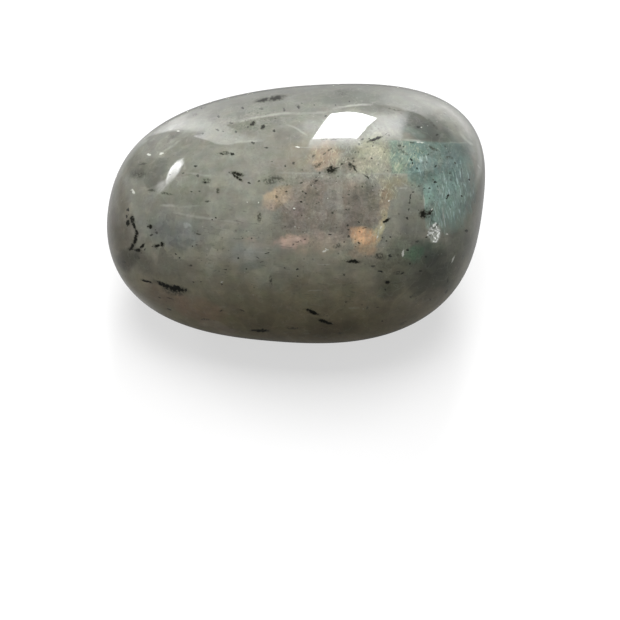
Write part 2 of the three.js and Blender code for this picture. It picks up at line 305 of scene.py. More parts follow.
# Pale cleavage lines: right, up, half length, half width, turn, bend and strength. The first three, along
# the arc below the top edge, are partly painted reflection of a bright line.
PALE_LINES = [
    (-2.13, 6.66, 2.4, 0.15, 9.5, -0.16, 0.42), (1.0, 6.85, 1.5, 0.12, 3, 0.02, 0.25),
    (3.9, 7.37, 1.5, 0.13, 6, -0.06, 0.5), (-3.2, 4.92, 1.1, 0.12, 3, 0, 0.32),
    (-8.5, 4.6, 0.95, 0.15, 33, 0.05, 0.32), (-6.6, 2.67, 1.1, 0.12, -8, 0, 0.25),
    (-8.6, 0.53, 0.75, 0.14, -2, 0, 0.4), (-7.3, 0.5, 0.9, 0.1, 4, -0.04, 0.25),
    (-6.7, -0.23, 1.8, 0.16, -8, 0.05, 0.42), (-4.6, -0.52, 0.8, 0.13, -5, 0, 0.3),
    (0.6, 2.74, 2.0, 0.11, -1, 0, 0.25), (6.3, 2.7, 1.6, 0.11, -1, 0, 0.3),
    (7.95, 4.99, 0.9, 0.11, -6, 0, 0.5), (11.0, 4.83, 1.2, 0.09, 0, 0, 0.2),
    (0.1, 5.75, 0.9, 0.1, -28, -0.1, 0.3), (7.4, 1.98, 0.3, 0.08, -32, 0, 0.45),
    (7.33, 1.72, 0.35, 0.08, 2, 0, 0.45), (11.65, 5.05, 0.75, 0.15, -42, 0.12, 0.35),
    (12.53, 3.22, 0.2, 0.09, -52, 0, 0.55), (10.07, -0.25, 0.8, 0.09, 97, 0.03, 0.6),
    (8.7, 0.85, 0.5, 0.09, 95, 0, 0.5), (1.9, -3.43, 0.55, 0.06, 0, 0, 0.35),
    (-2.6, -2.6, 1.0, 0.1, -4, 0, 0.22), (1.32, -5.21, 0.5, 0.07, 0, 0, 0.35),
    (3.95, -6.43, 0.45, 0.12, 0, 0, 0.25), (0.9, 4.5, 0.9, 0.07, -1, 0, 0.3),
    (-7.6, -2.2, 0.6, 0.15, -25, 0, 0.2), (3.0, 0.9, 1.8, 0.3, 88, 0.05, 0.14),
    (1.9, 0.2, 1.6, 0.2, 88, 0, 0.1), (5.62, -1.25, 0.85, 0.11, 80, 0.06, 0.5),
]

# Straight borders of flat planes inside the stone: right, up, turn and softness. What lies
# left of the way the turn points to is let through.
BLUE_BORDER = (-6.7, -0.25, 172, 0.3)
LEDGE = (2.0, 2.71, 0, 0.16)
TEAL_TOP = (8.5, 4.93, 178, 0.14)
TEAL_STEPS = [(6.4, 3.7, -88, 0.35), (7.585, 2.7, -90, 0.12), (8.68, 0.9, -86, 0.16)]
ORANGE_TOP = (4.6, -0.88, 181, 0.25)
ORANGE_SIDE = (3.6, -1.5, -86, 0.4)

# Slow change of the body colour from the lower to the upper edge, between these heights. It darkens
# towards the lower edge, which is painted shade, and again towards the upper edge.
BODY_SPAN = (-9.0, 9.0)
BODY_RAMP = [
    (0.0, (0.12, 0.1, 0.06)), (0.1, (0.17, 0.148, 0.088)), (0.2, (0.225, 0.204, 0.135)),
    (0.3, (0.242, 0.232, 0.172)), (0.42, (0.225, 0.222, 0.178)), (0.55, (0.195, 0.196, 0.16)),
    (0.72, (0.185, 0.188, 0.154)), (0.83, (0.16, 0.163, 0.136)), (0.9, (0.128, 0.131, 0.108)),
    (1.0, (0.11, 0.113, 0.094)),
]

# Soft colour in the body: right, up, half length and half width in millimetres, turn, softness of the
# edge, strength and colour. The dark clouds at the upper right, under the pale band along the top, are
# painted reflection of a dark part of the room.
BODY_CLOUDS = [
    (-5.0, 7.25, 3.6, 0.6, 13, 0.9, 0.6, (0.104, 0.106, 0.085)),
    (2.9, 8.15, 2.2, 0.6, 0, 0.9, 0.7, (0.075, 0.08, 0.065)),
    (8.3, 7.2, 2.0, 0.7, -22, 0.9, 0.7, (0.085, 0.09, 0.072)),
    (-7.2, 5.5, 2.2, 0.8, 20, 1.0, 0.6, (0.175, 0.178, 0.155)),
    (-3.8, 5.75, 1.9, 0.55, 8, 0.9, 0.6, (0.125, 0.131, 0.1)),
    (-0.6, 5.8, 1.7, 1.1, 0, 0.9, 0.5, (0.14, 0.143, 0.12)),
    (-0.8, 3.5, 1.3, 2.1, 0, 1.0, 0.6, (0.16, 0.15, 0.116)),
    (-8.55, 5.15, 0.8, 0.42, 25, 1.0, 0.7, (0.085, 0.085, 0.07)),
    (-4.4, 3.7, 3.2, 1.3, 5, 1.0, 0.6, (0.185, 0.189, 0.156)),
    (-2.2, 3.6, 1.3, 1.1, 0, 0.8, 0.5, (0.215, 0.22, 0.185)),
    (-10.9, 3.5, 1.4, 1.5, 20, 1.0, 0.7, (0.088, 0.088, 0.064)),
    (-9.7, 2.8, 1.5, 1.3, 0, 1.0, 0.7, (0.115, 0.115, 0.094)),
    (-7.3, 1.6, 2.4, 1.7, 0, 1.0, 0.75, (0.162, 0.168, 0.132)),
    (-3.8, 1.6, 2.3, 1.9, 0, 1.0, 0.75, (0.222, 0.224, 0.182)),
    (-12.1, -0.6, 1.4, 3.8, 0, 0.9, 0.8, (0.125, 0.11, 0.078)),
    (-8.7, -1.0, 2.9, 1.5, -4, 1.0, 0.7, (0.19, 0.196, 0.168)),
    (-5.1, 0.2, 1.2, 1.8, 0, 1.0, 0.6, (0.228, 0.234, 0.188)),
    (-5.5, -2.9, 2.2, 0.6, 77, 1.0, 0.6, (0.31, 0.312, 0.235)),
    (-3.0, -0.4, 2.3, 1.0, 0, 1.0, 0.75, (0.262, 0.26, 0.212)),
    (-3.2, -2.6, 2.2, 0.9, 3, 1.0, 0.65, (0.25, 0.268, 0.238)),
    (-1.6, -4.1, 1.8, 1.5, 0, 1.0, 0.65, (0.256, 0.264, 0.2)),
    (-3.1, -1.7, 1.1, 0.7, 0, 1.0, 0.5, (0.33, 0.325, 0.27)),
    (-8.4, -3.7, 2.5, 0.9, 0, 1.0, 0.6, (0.175, 0.168, 0.126)),
    (-10.6, -3.4, 1.9, 1.0, -30, 1.0, 0.7, (0.115, 0.107, 0.078)),
    (-3.0, -3.5, 1.1, 0.5, 0, 1.0, 0.65, (0.155, 0.17, 0.14)),
    (-9.0, -5.6, 2.3, 1.0, -25, 1.0, 0.7, (0.19, 0.145, 0.094)),
    (-6.6, -6.6, 2.6, 0.9, -18, 1.0, 0.65, (0.25, 0.18, 0.115)),
    (-10.7, -4.9, 1.2, 0.7, -45, 1.0, 0.6, (0.28, 0.25, 0.17)),
    (-1.4, -7.8, 1.8, 0.8, 0, 1.0, 0.6, (0.14, 0.118, 0.068)),
    (2.5, -7.9, 2.6, 0.8, 8, 1.0, 0.75, (0.085, 0.07, 0.038)),
    (6.4, -7.0, 2.4, 0.9, 18, 1.0, 0.6, (0.165, 0.145, 0.09)),
    (6.6, -3.9, 2.0, 1.7, 0, 1.0, 0.9, (0.125, 0.123, 0.083)),
    (7.5, -2.3, 1.9, 1.1, 10, 1.0, 0.65, (0.105, 0.12, 0.086)),
    (6.4, -5.1, 1.7, 1.1, 0, 1.0, 0.85, (0.08, 0.08, 0.047)),
    (9.3, -4.4, 2.2, 2.1, 20, 0.9, 0.9, (0.062, 0.066, 0.044)),
    (8.9, -5.9, 1.8, 0.8, 25, 1.0, 0.5, (0.14, 0.117, 0.08)),
    (11.1, -2.1, 1.5, 1.7, 0, 1.0, 0.7, (0.108, 0.118, 0.088)),
    (7.9, -0.5, 1.4, 2.0, 0, 1.0, 0.75, (0.137, 0.142, 0.116)),
    (4.0, -3.6, 1.6, 0.8, 0, 1.0, 0.6, (0.165, 0.16, 0.118)),
    # Painted reflection of a dark part of the room: the dark clouds at the upper right.
    (8.4, 5.7, 2.5, 0.95, -20, 1.0, 0.85, (0.062, 0.07, 0.062)),
    (10.8, 4.3, 1.6, 1.2, 0, 1.0, 0.75, (0.1, 0.124, 0.108)),
    (9.7, 5.6, 1.7, 0.8, -32, 1.0, 0.75, (0.07, 0.078, 0.068)),
    (8.0, 5.45, 0.95, 0.4, 0, 1.0, 0.75, (0.13, 0.16, 0.138)),
    (8.5, 6.5, 1.4, 0.6, -15, 1.0, 0.7, (0.055, 0.06, 0.05)),
    (-0.7, 5.0, 1.2, 0.8, 0, 1.0, 0.6, (0.115, 0.11, 0.09)),
    (8.2, -3.3, 1.3, 0.8, 0, 1.0, 0.6, (0.07, 0.085, 0.06)),
    (3.8, -5.2, 1.6, 0.7, 0, 1.0, 0.5, (0.16, 0.146, 0.093)),
    (0.95, 5.9, 0.8, 0.7, 0, 1.0, 0.5, (0.225, 0.23, 0.208)),
    (4.4, 7.7, 2.6, 0.8, -8, 1.0, 0.6, (0.062, 0.066, 0.053)),
    (-7.9, 6.5, 0.9, 0.4, 25, 1.0, 0.65, (0.26, 0.26, 0.228)),
    (-5.5, 6.6, 0.9, 0.45, 10, 1.0, 0.55, (0.075, 0.078, 0.062)),
    (-10.9, 2.9, 0.8, 0.8, 0, 1.0, 0.6, (0.06, 0.06, 0.045)),
    (9.9, -3.3, 1.7, 1.1, 10, 1.0, 0.6, (0.045, 0.05, 0.038)),
    (-5.4, -7.8, 1.7, 0.5, -20, 1.0, 0.6, (0.27, 0.225, 0.17)),
    (-11.6, -3.1, 0.9, 0.9, 0, 1.0, 0.75, (0.055, 0.05, 0.034)),
]

# Painted coloured sheen and paler planes: the same columns, one table for each border or open area.
BLUE_PATCHES = [
    (-8.0, -1.3, 2.5, 1.4, -4, 0.7, 0.65, (0.155, 0.17, 0.156)),
    (-7.9, -2.1, 0.9, 0.7, 0, 1.0, 0.5, (0.12, 0.135, 0.125)),
    (-7.35, -0.9, 0.35, 0.22, -20, 1.0, 0.6, (0.32, 0.34, 0.31)),
    (-6.0, -1.2, 1.4, 0.9, -6, 0.7, 0.45, (0.2, 0.205, 0.175)),
]
PAINTED_SHEEN_PATCHES = [
    (2.5, 0.5, 4.2, 2.4, 0, 0.35, 0.85, (0.174, 0.15, 0.12)),
    (-0.3, -0.1, 1.1, 1.8, 0, 0.9, 0.6, (0.205, 0.172, 0.142)),
    (1.2, -2.0, 3.4, 0.9, 0, 0.8, 0.7, (0.33, 0.27, 0.21)),
    (4.3, 0.3, 1.3, 1.4, 0, 0.9, 0.2, (0.145, 0.13, 0.102)),
    (2.5, 1.2, 0.72, 1.6, 2, 0.5, 0.6, (0.19, 0.186, 0.16)),
    (2.97, 0.6, 0.35, 2.1, 2, 0.9, 0.5, (0.25, 0.235, 0.195)),
    (4.6, 1.5, 0.95, 0.85, 10, 0.7, 0.85, (0.09, 0.086, 0.068)),
    (1.45, 1.6, 0.7, 0.9, 0, 1.0, 0.65, (0.125, 0.105, 0.082)),
    (-1.3, 1.0, 1.1, 0.85, 25, 1.0, 0.85, (0.31, 0.235, 0.158)),
    (-1.75, 1.2, 0.62, 0.5, 40, 1.0, 0.75, (0.46, 0.36, 0.24)),
    (-1.9, 0.6, 0.6, 0.5, 0, 1.0, 0.5, (0.34, 0.29, 0.22)),
    (-0.7, 1.6, 0.7, 0.5, 0, 1.0, 0.6, (0.22, 0.17, 0.11)),
    (-0.3, -1.88, 1.35, 0.6, 8, 1.0, 1.0, (0.52, 0.38, 0.305)),
    (-0.6, -1.85, 0.65, 0.3, 15, 1.0, 0.6, (0.62, 0.44, 0.36)),
    (-3.0, -1.8, 0.6, 0.3, -10, 0.9, 0.6, (0.36, 0.3, 0.24)),
    (4.3, -2.7, 1.3, 0.45, 5, 1.0, 0.6, (0.3, 0.235, 0.165)),
    (6.0, 0.6, 1.9, 0.42, 80, 0.9, 0.75, (0.3, 0.235, 0.15)),
    (5.62, -1.2, 1.6, 0.4, 70, 0.9, 0.8, (0.44, 0.39, 0.23)),
    (6.5, 2.1, 1.5, 0.45, -3, 0.7, 0.7, (0.225, 0.21, 0.143)),
    (8.9, -2.5, 1.4, 1.0, 15, 1.0, 0.85, (0.062, 0.085, 0.062)),
    (8.05, -2.7, 0.9, 0.75, 20, 0.9, 0.85, (0.08, 0.145, 0.09)),
    (6.25, 1.5, 0.8, 0.7, 0, 0.9, 0.6, (0.185, 0.158, 0.102)),
    (5.25, 0.8, 0.5, 0.9, 0, 1.0, 0.65, (0.115, 0.1, 0.07)),
]
UPPER_PATCHES = [
    (0.6, 3.9, 1.6, 1.5, 0, 0.8, 0.6, (0.2, 0.184, 0.14)),
    (2.0, 3.9, 1.4, 1.3, 10, 0.8, 0.85, (0.285, 0.222, 0.16)),
    (1.6, 3.4, 0.5, 0.65, 0, 0.9, 0.75, (0.37, 0.28, 0.2)),
    (5.2, 3.9, 1.9, 1.9, 0, 0.6, 0.85, (0.255, 0.256, 0.186)),
    (3.7, 3.4, 0.85, 0.9, 0, 1.0, 0.75, (0.165, 0.15, 0.114)),
]
GREEN_PATCHES = [
    (7.4, 3.9, 2.2, 2.3, 0, 0.5, 0.85, (0.14, 0.2, 0.162)),
    (6.9, 3.1, 0.6, 0.5, -30, 0.9, 0.7, (0.22, 0.29, 0.2)),
]
TEAL_PATCHES = [
    (9.6, 3.3, 2.9, 2.6, 0, 0.5, 0.9, (0.105, 0.16, 0.142)),
    (11.0, 2.0, 1.7, 2.4, 0, 0.6, 0.75, (0.136, 0.2, 0.18)),
    (11.0, 4.4, 1.5, 0.8, 0, 1.0, 0.6, (0.098, 0.128, 0.112)),
]
TEAL_LOW_PATCHES = [
    (10.0, 0.7, 2.4, 2.1, 10, 0.5, 0.9, (0.165, 0.245, 0.21)),
    (9.0, 1.0, 0.5, 1.2, 4, 0.8, 0.85, (0.235, 0.35, 0.29)),
    (10.5, -0.6, 1.4, 0.9, 0, 0.9, 0.6, (0.165, 0.235, 0.2)),
]
ORANGE_PATCHES = [
    (4.5, -1.5, 1.35, 0.9, -20, 1.0, 0.95, (0.64, 0.39, 0.215)),
    (4.1, -1.6, 0.65, 0.6, -30, 1.0, 0.7, (0.76, 0.47, 0.27)),
    (4.7, -2.35, 1.0, 0.5, -10, 1.0, 0.75, (0.4, 0.275, 0.175)),
]
# Where fine flecks and short bright streaks of the painted sheen, level dashes, dark dust and strong
# planes show.
CRACKLED = [
    (6.0, 3.2, 1.6, 1.6, 0), (7.4, 3.9, 1.6, 1.1, 0), (5.7, -0.9, 1.7, 0.55, 72), (2.6, 3.9, 2.0, 0.9, 0),
    (6.3, 1.6, 0.8, 1.0, 0), (4.5, -1.6, 1.3, 0.9, 0),
]
DASHED = [(-3.5, -2.2, 4.8, 3.2, 0), (2.5, -5.0, 4.0, 1.6, 0)]
STREAKED = [(10.9, 1.5, 1.4, 2.4, 0), (9.8, -0.2, 1.0, 1.3, 0), (8.6, 3.2, 0.35, 1.3, 0)]
DUSTED = [
    (2.4, 0.6, 4.6, 3.0, 0), (5.2, 3.8, 2.6, 2.4, 0), (5.5, -2.4, 3.2, 1.6, 0), (-3.2, 6.3, 2.6, 0.9, 8),
    (9.6, 2.6, 2.4, 2.6, 0),
]
FACETED = [
    (-9.3, 4.0, 2.8, 2.4, 25), (-7.4, -1.4, 3.4, 1.9, 0), (2.4, 0.6, 4.4, 2.6, 0),
    (8.6, -3.4, 3.2, 2.2, 20), (6.5, 3.6, 4.5, 1.2, 0),
]

# Noise that makes edges uneven: how fine it is per mm, how far it moves them, its detail.
LOOSE = (0.5, 1.6, 2.0)
WAVED = (1.2, 0.16, 2.0)
EDGED = (1.5, 0.85, 4.0)
BENT = (1.3, 0.35, 2.0)
RAGGED = (5.0, 0.16, 2.0)
# Depth counts this much in the noise at the edges of specks.
SPECK_DEPTH = (1, 1, 0.3)
# How fine the noise is that breaks up specks, how far it moves the edges of large ones, and
# what share of that the small and the white ones have.
SPECK_NOISE = 6.5
SPECK_UNEVEN = 4.0
SMALL_UNEVEN = 0.7
WHITE_UNEVEN = 0.5

# Streaks in the stone: turn in degrees, how much finer than a millimetre they are along each axis, the
# noise at which they start and are full, and strength. The lamellae, glint, shade and fleck streaks are
# painted sheen.
STREAKS = {
    "lamellae": (10, (3.2, 0.7, 1.2), 0.36, 0.58, 0.3),
    "painted glints": (-11, (10.5, 1.3, 1.5), 0.53, 0.66, 0.55),
    "painted shades": (-7, (5.5, 1.6, 1.3), 0.5, 0.36, 0.4),
    "flecks": (22, (10.0, 2.2, 2.0), 0.53, 0.68, 0.42),
    "cross flecks": (-30, (9.0, 2.4, 2.0), 0.56, 0.72, 0.42),
    "dashes": (4, (1.5, 8.5, 2.5), 0.6, 0.72, 0.45),
    "upright bands": (4, (1.7, 0.3, 0.8), 0.25, 0.75, 0.1),
    "level bands": (2, (0.4, 2.6, 0.8), 0.25, 0.75, 0.07),
}
# Flat planes of two sizes: how much finer than a millimetre they are along each axis, how
# far their tones spread, and how much farther where planes are strong.
PLANES = [((0.7, 0.4, 0.5), 0.15, 0.16), ((1.3, 2.2, 1.3), 0.11, 0.14)]
# Share of the painted sheen that the far side has.
FAR_SHEEN = 0.5
# Slow and fine changes: how fine the noise is per mm, its detail and its roughness.
MOTTLE = (0.9, 4.0, 0.62)
GRAIN = (5.5, 2.0, 0.7)
HUES = (1.1, 3.0, 0.5)
PATCHY = (1.7, 3.0, 0.5)
DUST_SPREAD = (0.35, 1.0, 0.5)
SPECK_SPREAD = (0.9, 1.0, 0.5)
# What a noise comes to: its value at the start and at the end, then the share at both.
MOTTLE_TONES = (0.25, 0.75, 0.82, 1.18)
PATCHY_SHARES = (0.3, 0.62, 0.35, 1.0)
DUST_PLACES = (0.42, 0.62, 0.0, 0.6)
SPECK_SHARES = (0.35, 0.65, 0.6, 1.0)
DEEP_SHARES = (0.6, 0.44, 0.25, 1.0)
CRUSHED_SHARES = (0.35, 0.6, 0.3, 0.85)
# Strength of the grain everywhere, and what is added to it where the stone is dusty.
GRAIN_LEAST = 0.22
GRAIN_ADDED = 0.8
# Least brightness of the painted sheen between its lamellae.
LAMELLAE_LEAST = 0.7
# Winding cracks: how fine per mm, how wide as a share of the noise, and strength.
CRACKS_PER_MM = 0.75
CRACK_WIDTH = 0.022
CRACK_STRENGTH = 0.1
# Dots of dust: how many per mm, size and share of the places that have one.
FINE_DUST = (2.6, 0.22, 0.75)
FINER_DUST = (4.5, 0.24, 0.5)
LIGHT_DUST = (3.2, 0.2, 0.4)
# Strength of deep specks, of the finer dust and of the pale dust.
DEEP_STRENGTH = 0.8
FINER_STRENGTH = 0.75
LIGHT_STRENGTH = 0.5
# The pale dots of dust are this far from the dark ones, in millimetres.
ASIDE = (7.3, 2.1, 4.4)
# Soft edges of areas and marks: squared distances where they start and are full, strength.
EDGES = {
    "streaked": (1.15, 0.3, 1.0),
    "crackled": (1.15, 0.4, 1.0),
    "dashed": (1.15, 0.4, 1.0),
    "dusted": (1.15, 0.5, 1.0),
    "faceted": (1.2, 0.5, 1.0),
    "deep speck": (1.6, 0.0, 1.0),
    "dust around": (12.0, 2.0, 1.0),
    "halo": (3.6, 0.8, 0.5),
    "large speck": (1.6, 0.5, 1.0),
    "small speck": (1.3, 0.2, 1.0),
    "white speck": (1.2, 0.1, 0.7),
    "chip": (1.3, 0.8, 1.0),
    "flake": (1.9, 0.2, 0.9),
}
# A squared distance that is beyond every mark's edge.
FAR_OFF = 9.0
# Share of the polish that large specks lack, and how strongly feldspar bends light.
BARE_SPECKS = 0.85
FELDSPAR_IOR = 1.56
# Least and added share of each basic colour where the hue changes slowly.
HUE_LEAST = (0.9, 0.93, 0.89)
HUE_ADDED = (0.2, 0.14, 0.22)

# Colours of the marks.
# The teal glint and shade and the yellow fleck are painted sheen.
PAINTED_TEAL_GLINT = (0.4, 0.52, 0.5)
PAINTED_TEAL_SHADE = (0.07, 0.095, 0.088)
YELLOW_FLECK = (0.44, 0.44, 0.33)
DARK_DASH = (0.07, 0.075, 0.055)
FINE_CRACK = (0.36, 0.37, 0.32)
# The pale cleavage colour also draws a painted reflection along the arc near the top.
PALE_CLEAVAGE_AND_REFLECTION = (0.43, 0.44, 0.39)
DEEP_SPECK = (0.03, 0.031, 0.021)
DARK_DUST = (0.03, 0.028, 0.02)
PALE_DUST = (0.5, 0.5, 0.45)
SPECK_HALO = (0.05, 0.05, 0.032)
LARGE_BLACK = (0.006, 0.006, 0.003)
SMALL_BLACK = (0.006, 0.007, 0.004)
WHITE_SPECK = (0.75, 0.76, 0.69)
CRUSHED = (0.34, 0.36, 0.32)
WHITE_FLAKE = (0.82, 0.84, 0.8)

# Lamps: name, bearing, tilt, distance, width and height in metres, and radiance.
LAMPS = [
    ("window_light", 86, 32, 1.0, 0.25, 0.5, 22),
    ("side_light", 144, 24, 1.0, 0.42, 0.06, 22),
    ("overhead_light", 90, 80, 1.2, 1.0, 1.0, 5),
]
# Lamps look at this point, and far cards stand around it.
LIT_POINT = np.array([0, 0, 0.01])
WORLD_LIGHT = 0.25
WORLD_SHOWN = 0.95
FLOOR_REACH = 12.0
FLOOR_MATT = (0.9, 0.9, 0.9, 1)
FLOOR_GLOW_SHARE = 0.6
FLOOR_BOUNCE = (0.2, 0.2, 0.2, 1)


def facing(bearing, tilt):
    """Unit vectors for compass bearings and tilts above the horizon, both in degrees."""
    turn = np.radians(np.asarray(bearing, dtype=float))
    rise = np.radians(np.asarray(tilt, dtype=float))
    level = np.cos(rise)
    return np.stack([np.cos(turn) * level, np.sin(turn) * level, np.sin(rise)], axis=-1)


def unit(vector):
    """The vector at length one."""
    return vector / np.linalg.norm(vector)


CHIP_AXIS = facing(CHIP_BEARING, CHIP_TILT)
CHIP_ALONG = unit(facing(*CHIP_RUN) - facing(*CHIP_RUN) @ CHIP_AXIS * CHIP_AXIS)
CHIP_ACROSS = np.cross(CHIP_ALONG, CHIP_AXIS)


def rounded_reach(directions):
    """Distance from the middle to the surface in each unit direction.

    Each worn face holds a direction back by its lean towards the face over the face's
    distance. The reach is one over the cube root of the sum of the cubed holds.
    """
    normals = facing(WORN_FACES[:, 0], WORN_FACES[:, 1])
    holds = np.maximum(directions @ normals.T, 0) / WORN_FACES[:, 2]
    return (holds ** EDGE_SHARPNESS).sum(axis=-1) ** (-1 / EDGE_SHARPNESS)


def gentle_waves(directions):
    """Slight unevenness that hand and barrel polishing leaves, as a share of the reach.

    A sum of slow sine waves that run across the stone in fixed directions.
    """
    height = np.zeros(directions.shape[:-1])
    for run, start, size in POLISH_WAVES:
        height += size * np.sin(directions @ np.array(run) + start)
    return height


def ring_directions():
    """Directions on rings around the chip, from the chip to the far side of the stone.

    The angle of a ring grows with a power of its number, so rings crowd at the chip.
    """
    share = np.arange(1, RINGS) / RINGS
    apart = math.pi * share ** RING_CROWDING
    turn = np.linspace(0, 2 * math.pi, AROUND, endpoint=False)
    apart, turn = np.meshgrid(apart, turn, indexing="ij")
    rings = (
        np.cos(apart)[..., None] * CHIP_AXIS
        + (np.sin(apart) * np.cos(turn))[..., None] * CHIP_ACROSS
        + (np.sin(apart) * np.sin(turn))[..., None] * CHIP_ALONG
    )
    return np.vstack([CHIP_AXIS, rings.reshape(-1, 3), -CHIP_AXIS])


def ring_faces():
    """Triangles and quads between neighbouring rings, closed by a fan at each end."""
    rows = RINGS - 1
    first = 1 + np.arange(rows)[:, None] * AROUND + np.arange(AROUND)
    ahead = np.roll(first, -1, axis=1)
    quads = np.stack([first[:-1], first[1:], ahead[1:], ahead[:-1]], axis=-1).reshape(-1, 4)
    last = 1 + rows * AROUND
    near = np.stack([np.zeros(AROUND, int), first[0], ahead[0]], axis=-1)
    far = np.stack([first[-1], np.full(AROUND, last), ahead[-1]], axis=-1)
    return quads, np.vstack([near, far])


def pressed_chip(points):
    """Pushes points inside the chip's ragged outline inwards, in small broken flats.

    The outline is an oval whose radius swings with the angle. Depth falls from the rim
    as a square root, and each point takes the lean of the flat whose middle is nearest.
    """
    offset = points - points[0]
    along = offset @ CHIP_ALONG / (CHIP_LENGTH / 2)
    across = offset @ CHIP_ACROSS / (CHIP_WIDTH / 2)
    angle = np.arctan2(along, across)
    ragged = 1 + sum(size * np.cos(count * angle + start) for size, count, start in CHIP_SWINGS)
    share = np.hypot(along, across) / ragged
    inside = (share < 1) & (np.linalg.norm(offset, axis=-1) < CHIP_LENGTH)
    bowl = np.sqrt(np.clip(1 - share ** 2, 0, 1))
    apart = (along[:, None] - CHIP_FLATS[:, 0]) ** 2 + (across[:, None] - CHIP_FLATS[:, 1]) ** 2
    middle_along, middle_across, lean_along, lean_across, level = CHIP_FLATS[apart.argmin(axis=1)].T
    broken = level + lean_along * (along - middle_along) + lean_across * (across - middle_across)
    depth = CHIP_DEPTH * bowl * np.clip(broken, *CHIP_REACH)
    return points - np.where(inside, depth, 0)[:, None] * CHIP_AXIS


def stone_points():
    """Points of the stone in metres, fitted to the box of the solid and worn level below."""
    directions = ring_directions()
    reach = rounded_reach(directions) * (1 + gentle_waves(directions))
    points = directions * reach[:, None]
    low, high = points.min(axis=0), points.max(axis=0)
    box_low, box_high = (np.array(corner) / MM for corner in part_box("labradorite_stone"))
    size = box_high - box_low + np.array([0, 0, BASE_WEAR])
    points = (points - (low + high) / 2) * size / (high - low)
    points += (box_low + box_high) / 2 - np.array([0, 0, BASE_WEAR / 2])
    points = pressed_chip(points)
    points[:, 2] = np.maximum(points[:, 2], box_low[2])
    return points * MM


def mesh_object(name, points, quads, triangles):
    """A smooth mesh object at the origin from whole arrays of points and faces."""
    mesh = bpy.data.meshes.new(name)
    corners = np.concatenate([quads.ravel(), triangles.ravel()]).astype(np.int32)
    sizes = np.concatenate([np.full(len(quads), 4), np.full(len(triangles), 3)]).astype(np.int32)
    starts = np.concatenate([[0], np.cumsum(sizes)[:-1]]).astype(np.int32)
    mesh.vertices.add(len(points))
    mesh.vertices.foreach_set("co", points.astype(np.float32).ravel())
    mesh.loops.add(len(corners))
    mesh.loops.foreach_set("vertex_index", corners)
    mesh.polygons.add(len(sizes))
    mesh.polygons.foreach_set("loop_start", starts)
    mesh.update(calc_edges=True)
    mesh.validate()
    mesh.shade_smooth()
    piece = bpy.data.objects.new(name, mesh)
    bpy.context.scene.collection.objects.link(piece)
    return piece


def add_stone(material):
    """The polished stone as one closed surface."""
    quads, triangles = ring_faces()
    stone = mesh_object("polished_stone", stone_points(), quads, triangles)
    stone.data.materials.append(material)
    return stone


class Nodes:
    """Short calls for adding and joining the nodes of one material or group."""

    def __init__(self, tree):
        self.tree = tree

    def add(self, kind, inputs=None, **settings):
        node = self.tree.nodes.new(kind)
        for name, value in settings.items():
            setattr(node, name, value)
        for name, value in (inputs or {}).items():
            self.feed(node.inputs[name], value)
        return node

    def feed(self, socket, value):
        if isinstance(value, bpy.types.NodeSocket):
            self.tree.links.new(value, socket)
        else:
            socket.default_value = value

    def math(self, operation, first, second=0.0):
        return self.add("ShaderNodeMath", {0: first, 1: second}, operation=operation).outputs[0]

    def mix(self, share, first, second, blend="MIX"):
        node = self.add("ShaderNodeMix", data_type="RGBA", blend_type=blend)
        self.feed(node.inputs[0], share)
        self.feed(node.inputs[6], first)
        self.feed(node.inputs[7], second)
        return node.outputs[2]

    def ramp(self, value, start, end, low=0.0, high=1.0, smooth=True):
        node = self.add("ShaderNodeMapRange", {
            "Value": value,
            "From Min": start,
            "From Max": end,
            "To Min": low,
            "To Max": high,
        }, interpolation_type="SMOOTHSTEP" if smooth else "LINEAR", clamp=not smooth)
        return node.outputs["Result"]

    def noise(self, point, scale, detail=2.0, roughness=0.5, output="Fac"):
        node = self.add("ShaderNodeTexNoise", {
            "Vector": point,
            "Scale": scale,
            "Detail": detail,
            "Roughness": roughness,
        })
        return node.outputs[output]

    def mixed_shader(self, share, first, second):
        node = self.add("ShaderNodeMixShader", {"Fac": share, 1: first, 2: second})
        return node.outputs["Shader"]

    def show(self, shader, kind="ShaderNodeOutputMaterial"):
        self.feed(self.add(kind).inputs["Surface"], shader)

    def times(self, first, *others):
        for other in others:
            first = self.math("MULTIPLY", first, other)
        return first

    def plus(self, first, *others):
        for other in others:
            first = self.math("ADD", first, other)
        return first

    def tint(self, share, colour, tint):
        return self.mix(share, colour, (*tint, 1))

    def vector(self, operation, first, second):
        node = self.add("ShaderNodeVectorMath", {0: first, 1: second}, operation=operation)
        return node.outputs["Value" if operation == "DOT_PRODUCT" else "Vector"]

    def group(self, tree, **inputs):
        node = self.add("ShaderNodeGroup", node_tree=tree)
        for name, value in inputs.items():
            self.feed(node.inputs[name.replace("_", " ").capitalize()], value)
        return node.outputs[0]


def cleared(owner):
    """Empty node tree of a material or world."""
    owner.use_nodes = True
    owner.node_tree.nodes.clear()
    return owner.node_tree


def new_group(name, inputs, outputs):
    """Empty node group, with its nodes, its given inputs and its outputs to fill."""
    tree = bpy.data.node_groups.new(name, "ShaderNodeTree")
    for way, sockets in (("INPUT", inputs), ("OUTPUT", outputs)):
        for label, kind in sockets:
            tree.interface.new_socket(label, in_out=way, socket_type="NodeSocket" + kind)
    given = tree.nodes.new("NodeGroupInput").outputs
    results = tree.nodes.new("NodeGroupOutput").inputs
    return tree, Nodes(tree), given, results


